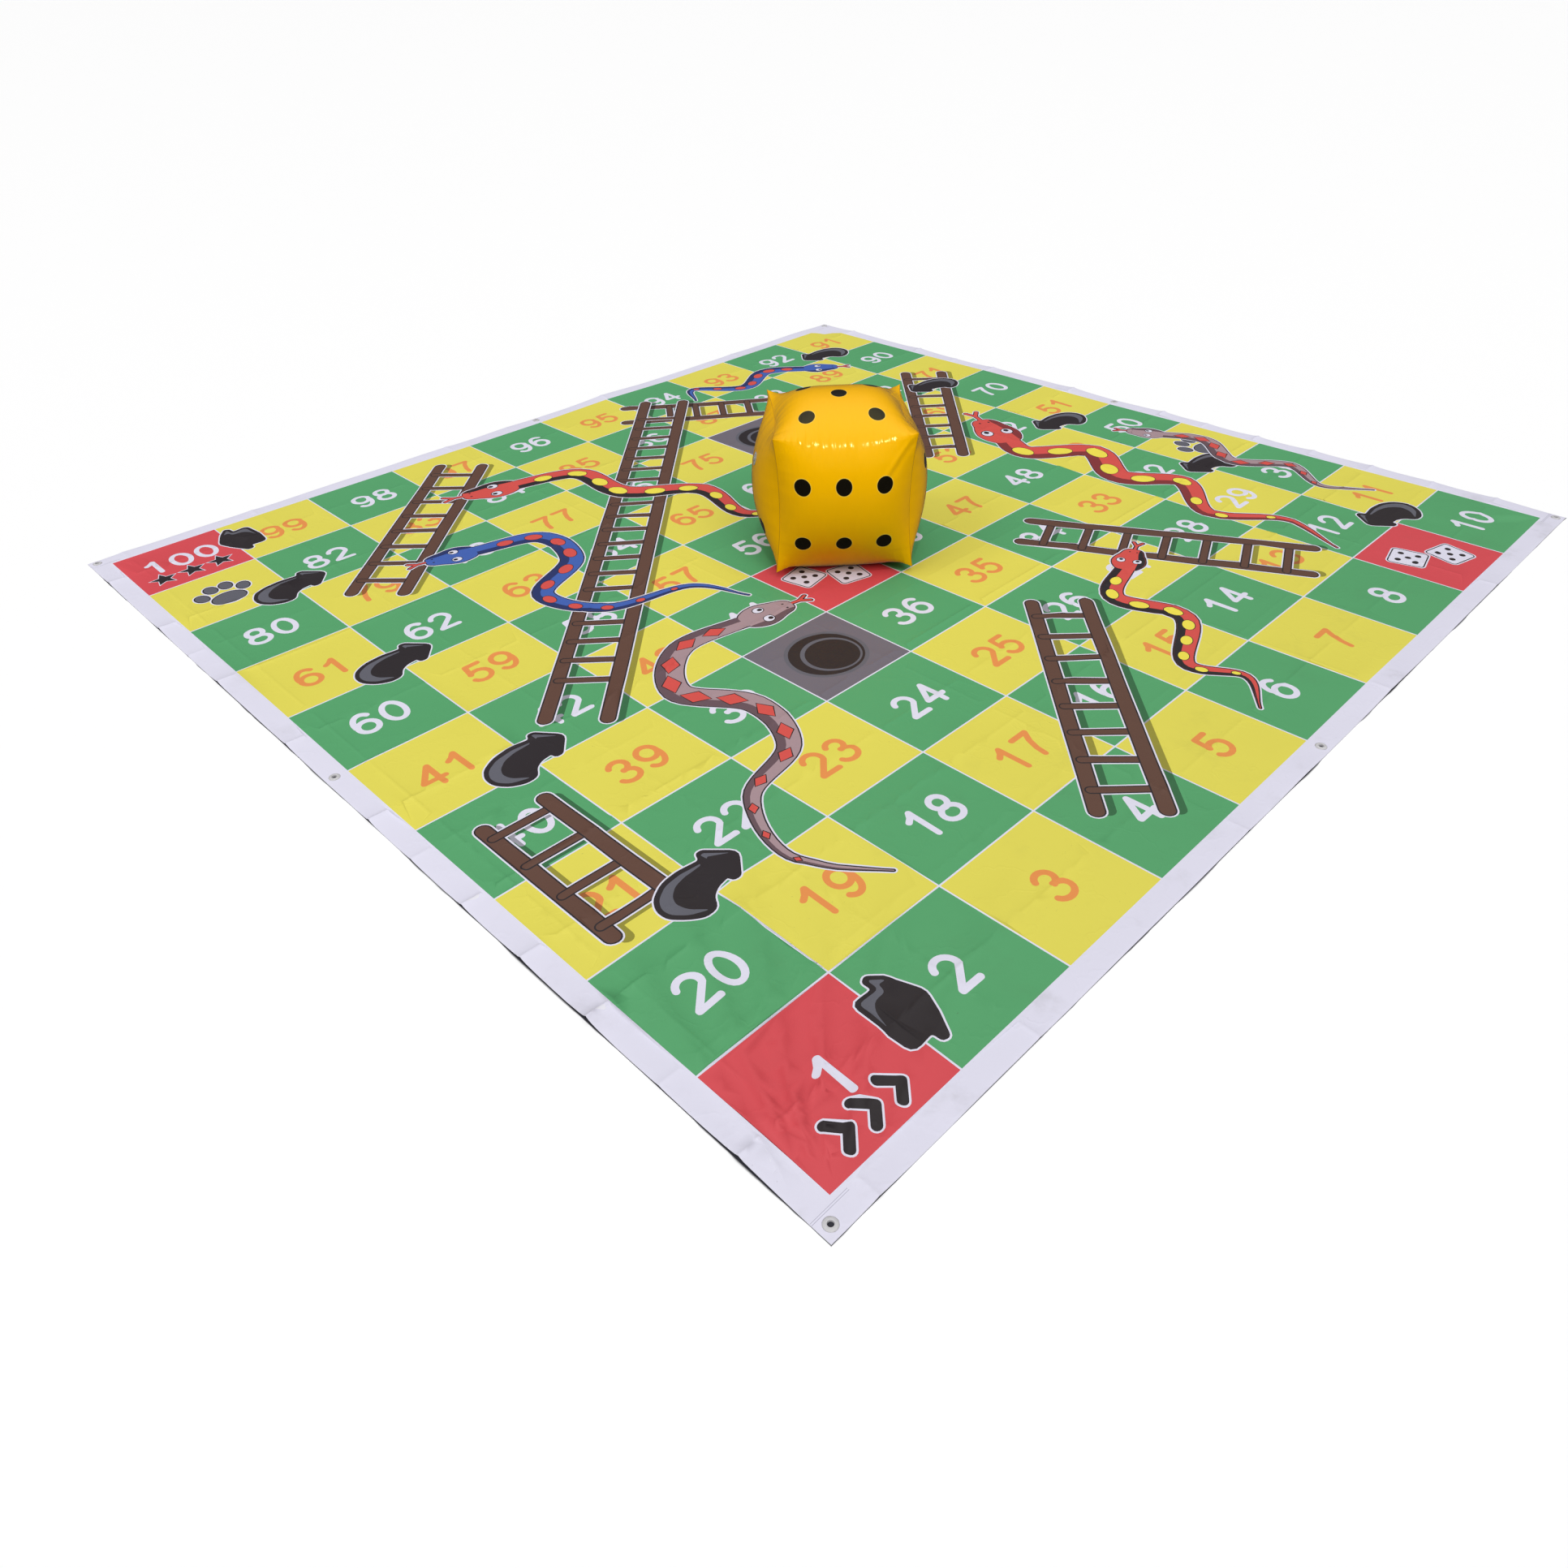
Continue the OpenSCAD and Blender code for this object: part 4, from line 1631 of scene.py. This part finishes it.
def seam_lines():
    """The eight seams round the side panels, each as a row of points."""
    lines = []
    shares = [step / 24 * 2 - 1 for step in range(25)]
    for panel in DIE_SIDES:
        place = panel_matrix(panel)
        for edge in (1, -1):
            lines.append([place @ panel_point(share, edge, DIE_HALF) for share in shares])
            lines.append([place @ panel_point(edge, share, DIE_HALF) for share in shares])
    return lines


def valve_matrix():
    """Place of the valve on the left panel, with Z out of the film."""
    step = 0.001
    here = panel_point(VALVE_ACROSS, VALVE_UP, DIE_HALF)
    along = panel_point(VALVE_ACROSS + step, VALVE_UP, DIE_HALF) - here
    upward = panel_point(VALVE_ACROSS, VALVE_UP + step, DIE_HALF) - here
    facing = along.cross(upward).normalized()
    tip = Matrix.Rotation(math.acos(facing.z), 4, "Y")
    spin = Matrix.Rotation(math.atan2(facing.y, facing.x), 4, "Z")
    seat = Matrix.Translation((0, 0, VALVE_GAP))
    return panel_matrix("left") @ Matrix.Translation(here) @ spin @ tip @ seat


def turned_on_valve(name, corners, radius, material, body, node, closed=False):
    """A turned piece of the valve. An open profile starts and ends on the axis, and stays sharp there."""
    profile = rounded(corners, radius)
    if not closed:
        end = ROUND_STEPS + 1
        profile = [corners[0]] + profile[end:-end] + [corners[-1]]
    mesh = lathe_mesh(name, profile, closed=closed)
    mesh.transform(valve_matrix())
    shade_smooth(mesh)
    return show(name, mesh, material, body, [node])


# Operators


class FLOORGAME_OT_stage(bpy.types.Operator):
    """Set up the camera, the pale floor and the soft light"""

    bl_idname = "floorgame.stage"
    bl_label = "Set the stage"

    def execute(self, context):
        settings = context.scene.floorgame_stage
        make_camera(settings)
        make_floor(settings)
        make_light(settings)
        context.scene.view_settings.view_transform = "Standard"
        return {"FINISHED"}


def make_camera(settings):
    """Camera at the photograph's place."""
    data = bpy.data.cameras.new("camera")
    data.lens = settings.lens
    data.sensor_width = 36
    camera = put("camera", data)
    flat = math.cos(settings.pitch)
    ahead = Vector((flat * math.cos(settings.yaw), flat * math.sin(settings.yaw), -math.sin(settings.pitch)))
    right = ahead.cross(Vector((0, 0, 1))).normalized()
    down = ahead.cross(right)
    level = math.cos(settings.roll) * right + math.sin(settings.roll) * down
    drop = -math.sin(settings.roll) * right + math.cos(settings.roll) * down
    turn = Matrix((level, -drop, -ahead)).transposed()
    camera.matrix_world = Matrix.Translation(Vector(settings.eye)) @ turn.to_4x4()
    bpy.context.scene.camera = camera


def make_floor(settings):
    """A wide pale floor with painted shade under the mat and a painted contact shadow a few millimetres past
    its edge.
    """
    reach = 90
    mesh = bpy.data.meshes.new("floor")
    corners = [(-reach, -reach, 0), (reach, -reach, 0), (reach, reach, 0), (-reach, reach, 0)]
    mesh.from_pydata(corners, [], [(0, 1, 2, 3)])
    finish = Finish("floor")
    place = finish.place()
    pale = (*settings.floor, 1)
    x, y, _ = finish.axes(place)
    # Painted shade: the floor is near black under the mat, so the eyelet holes look dark, and this dark runs
    # a ragged half to four and a half millimetres past the mat's edge as a painted contact shadow.
    past_edge = (abs(x) - MAT_WIDTH / 2).most(abs(y) - MAT_LENGTH / 2)
    shadow = 0.5 * MM + finish.ease(finish.grain(place, 5.0, 3.0), 0.46, 0.62) * (4 * MM)
    painted_shade_mask = 1 - finish.ease(past_edge, 0.0, shadow)
    bare = finish.mix(finish.grain(place, 3.0, 3.0) * 0.05, pale, (0.9, 0.9, 0.9, 1))
    floor_with_painted_shade = finish.mix(painted_shade_mask, bare, (0.04, 0.04, 0.05, 1))
    finish.set(Base_Color=floor_with_painted_shade, Roughness=0.9, Specular_IOR_Level=0.1)
    mesh.materials.append(finish.material)
    floor = put("floor", mesh)
    floor.visible_glossy = False


# The sky's light grows with this power of the height above the horizon
SKY_POWER = 4


def make_light(settings):
    """A sky that is brighter overhead, two broad soft suns, and a small light that makes the film glint."""
    world = bpy.data.worlds.new("studio")
    bpy.context.scene.world = world
    world.use_nodes = True
    tree = world.node_tree
    sky = tree.nodes["Background"]
    place = tree.nodes.new("ShaderNodeTexCoord")
    split = tree.nodes.new("ShaderNodeSeparateXYZ")
    tree.links.new(place.outputs["Generated"], split.inputs["Vector"])
    up = Value(tree, split.outputs["Z"]).most(0.0)
    climb = (settings.sky - settings.horizon) * (SKY_POWER + 2) / 2
    tree.links.new((settings.horizon + up ** SKY_POWER * climb).socket, sky.inputs["Strength"])
    sky.inputs["Color"].default_value = (1, 1, 1, 1)
    add_sun("sun", settings.sun, heading=252, height=44, size=34).visible_glossy = False
    add_sun("side", settings.side, heading=163, height=45, size=24).visible_glossy = False
    add_sun("window", settings.window, heading=223, height=61, size=3.5)


def add_sun(name, share, heading, height, size):
    """A far light that gives a share of the floor's light. Its angles are in degrees."""
    data = bpy.data.lights.new(name, "SUN")
    data.energy = share * math.pi / math.sin(math.radians(height))
    data.angle = math.radians(size)
    sun = put(name, data)
    sun.rotation_euler = (0, math.radians(90 - height), math.radians(heading))
    return sun


class FLOORGAME_OT_sheet(bpy.types.Operator):
    """Print the mat's sheet and lay it with its folds and ripples"""

    bl_idname = "floorgame.sheet"
    bl_label = "Printed sheet"

    def execute(self, context):
        job = Print(context.scene.floorgame_print)
        lay_squares(job)
        lay_numbers(job)
        lay_marks(job)
        lay_margin(job)
        lay_ladders(job)
        lay_arrows(job)
        lay_snakes(job)
        mesh = laid_film("mat_sheet", MAT_LOW, MAT_HIGH, job)
        sheet = show("printed_sheet", mesh, printed_pvc(), "mat", ["mat_sheet"])
        sheet.visible_glossy = False
        blank = Print(context.scene.floorgame_print)
        backing = white_pvc()
        for side in HEM_SIDES:
            strip = laid_film(f"hem_{side}", *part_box(f"hem_{side}"), blank)
            show(f"hem_strip_{side}", strip, backing, "mat", [f"hem_{side}"])
        return {"FINISHED"}


class FLOORGAME_OT_eyelets(bpy.types.Operator):
    """Snap the plastic eyelets into the mat"""

    bl_idname = "floorgame.eyelets"
    bl_label = "Eyelets"

    def execute(self, context):
        material = eyelet_plastic()
        ring_low, ring_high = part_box("eyelet_ring_front_mid")
        lock_low, lock_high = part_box("eyelet_lock_front_mid")
        ring_r = (ring_high[0] - ring_low[0]) / 2
        lock_r = (lock_high[0] - lock_low[0]) / 2
        top = ring_high[2]
        hole_r = 5 * MM
        barrel_r = 6.4 * MM
        crest_r = hole_r + 1.2 * MM
        dome = [
            (crest_r + (ring_r - crest_r) * math.cos(a), MAT_TOP + (top - MAT_TOP) * math.sin(a))
            for a in (math.pi / 2 * step / 10 for step in range(11))
        ]
        lip = [(hole_r + 0.35 * MM, top - 0.25 * MM), (hole_r, top - 0.9 * MM)]
        barrel = [
            (hole_r, 0.1 * MM),
            (barrel_r + 0.3 * MM, 0.1 * MM),
            (barrel_r, 0.6 * MM),
            (barrel_r, MAT_TOP),
        ]
        lay_on_eyelets("eyelet_rings", dome + lip + barrel, material, "eyelet_ring")
        inner_r = barrel_r + 0.4 * MM
        washer = [(inner_r, 0.0), (lock_r, 0.0), (lock_r, lock_high[2]), (inner_r, lock_high[2])]
        lay_on_eyelets("eyelet_locks", rounded(washer, 0.3 * MM), material, "eyelet_lock")
        return {"FINISHED"}


class FLOORGAME_OT_die(bpy.types.Operator):
    """Inflate the die: a band, two side panels and the welds between them"""

    bl_idname = "floorgame.die"
    bl_label = "Inflatable die"

    def execute(self, context):
        die = context.scene.floorgame_die
        half_arc = (DIE_HALF + DIE_CROWN) * math.pi / 4
        pips = []
        for order, stretch in enumerate(BAND_TURNS):
            for u, v in PIPS[stretch]:
                pips.append(((u + 1) * DIE_HALF, (2 * order + 1 - v) * half_arc))
        film = die_film("die_film_band", pips, (2 * DIE_HALF, 8 * half_arc), die, bends=(2 * half_arc,))
        show("die_film_band", band_mesh(die), film, "die", ["die_band"])
        for panel in DIE_SIDES:
            pips = [((u + 1) * DIE_HALF, (v + 1) * DIE_HALF) for u, v in PIPS[panel]]
            film = die_film(f"die_film_{panel}", pips, (2 * DIE_HALF, 2 * DIE_HALF), die)
            mesh = panel_mesh(panel, die)
            show(f"die_film_{panel}", mesh, film, "die", [f"die_panel_{panel}"])
        points = []
        edges = []
        for line in seam_lines():
            start = len(points)
            points += line
            edges += [(start + i, start + i + 1) for i in range(len(line) - 1)]
        source = bpy.data.meshes.new("die_seam_lines")
        source.from_pydata(points, edges, [])
        material = weld_film(die)
        inputs = {"Radius": die.seam, "Finish": material}
        welds = grown_mesh("die_welds", source, bead_tree("weld_bead"), inputs)
        smooth_faces(welds)
        show("die_welds", welds, material, "die", [])
        return {"FINISHED"}


class FLOORGAME_OT_valve(bpy.types.Operator):
    """Fit the die's valve with its plug, strap and flap"""

    bl_idname = "floorgame.valve"
    bl_label = "Valve"

    def execute(self, context):
        clear = valve_pvc("valve_clear", (0.8, 0.8, 0.76), (0.6, 0.6, 0.58))
        grey = valve_pvc("valve_grey", (0.56, 0.57, 0.58), (0.4, 0.41, 0.42))
        bore = 3.9 * MM
        tube = 5.5 * MM
        deep = -18 * MM
        flange_r = 17 * MM
        flange_top = 1 * MM
        flange = [
            (bore, deep),
            (tube, deep),
            (tube, 0),
            (flange_r, 0),
            (flange_r, 0.7 * MM),
            (9 * MM, flange_top),
            (bore, flange_top),
        ]
        turned_on_valve("valve_flange", flange, 0.3 * MM, clear, "die", "valve_stem", closed=True)
        head = 1.2 * MM
        head_r = 7 * MM
        pin = 3.7 * MM
        tip = head - 9 * MM
        plug = [
            (0, tip),
            (2.4 * MM, tip),
            (pin, head - 7.6 * MM),
            (pin, head),
            (head_r, head),
            (head_r, head + 1.6 * MM),
            (5.6 * MM, head + 2.5 * MM),
            (0, head + 2.2 * MM),
        ]
        turned_on_valve("valve_plug_turned", plug, 0.5 * MM, grey, "plug", "valve_plug")
        flap_low = deep - 0.9 * MM
        flap_top = deep - VALVE_GAP
        flap = [(0, flap_low), (tube, flap_low), (tube, flap_top), (0, flap_top)]
        turned_on_valve("valve_flap_disc", flap, 0.2 * MM, clear, "flap", "valve_flap")
        self.fit_strap(clear)
        return {"FINISHED"}

    def fit_strap(self, material):
        """A flat strap from the flange's rim to the plug's head."""
        start = 7.3 * MM
        end = 16 * MM
        half = 3 * MM
        low = 1.05 * MM
        thick = 0.85 * MM
        build = bmesh.new()
        rows = 14
        rings = []
        for row in range(rows + 1):
            share = row / rows
            x = end + (start - end) * share
            waist = half * (0.72 + 0.28 * abs(2 * share - 1))
            corners = [(-waist, low), (waist, low), (waist, low + thick), (-waist, low + thick)]
            section = rounded(corners, 0.25 * MM, 2)
            rings.append([build.verts.new((x, y, z)) for y, z in section])
        for a, b in zip(rings, rings[1:]):
            for i in range(len(a)):
                j = (i + 1) % len(a)
                build.faces.new((a[i], a[j], b[j], b[i]))
        build.faces.new(rings[0][::-1])
        build.faces.new(rings[-1])
        mesh = mesh_from(build, "valve_strap_band")
        place = valve_matrix()
        mesh.transform(place)
        shade_smooth(mesh)
        strap = show("valve_strap_band", mesh, material, None, ["valve_strap"])
        fixed = tuple(place @ Vector((end, 0, low)))
        pulled = tuple(place @ Vector((start, 0, low)))
        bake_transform(strap)


class FLOORGAME_PT_panel(bpy.types.Panel):
    """Lists the pieces of the floor game"""

    bl_label = "Floor Game"
    bl_space_type = "VIEW_3D"
    bl_region_type = "UI"
    bl_category = "Floor Game"

    def draw(self, context):
        for step in STEPS:
            self.layout.operator(step.bl_idname)
        for name in SETTINGS:
            box = self.layout.box()
            group = getattr(context.scene, name)
            for key in group.__annotations__:
                box.prop(group, key)


STEPS = (FLOORGAME_OT_stage, FLOORGAME_OT_sheet, FLOORGAME_OT_eyelets, FLOORGAME_OT_die, FLOORGAME_OT_valve)
SETTINGS = {
    "floorgame_print": PrintSettings,
    "floorgame_die": DieSettings,
    "floorgame_stage": StageSettings,
}


def register():
    for group in (*SETTINGS.values(), *STEPS, FLOORGAME_PT_panel):
        bpy.utils.register_class(group)
    for name, group in SETTINGS.items():
        setattr(bpy.types.Scene, name, bpy.props.PointerProperty(type=group))


def unregister():
    for name in SETTINGS:
        delattr(bpy.types.Scene, name)
    for group in reversed((*SETTINGS.values(), *STEPS, FLOORGAME_PT_panel)):
        bpy.utils.unregister_class(group)


def main():
    register()
    bpy.ops.floorgame.stage()
    bpy.ops.floorgame.sheet()
    bpy.ops.floorgame.eyelets()
    bpy.ops.floorgame.die()
    bpy.ops.floorgame.valve()


if __name__ == "__main__":
    main()
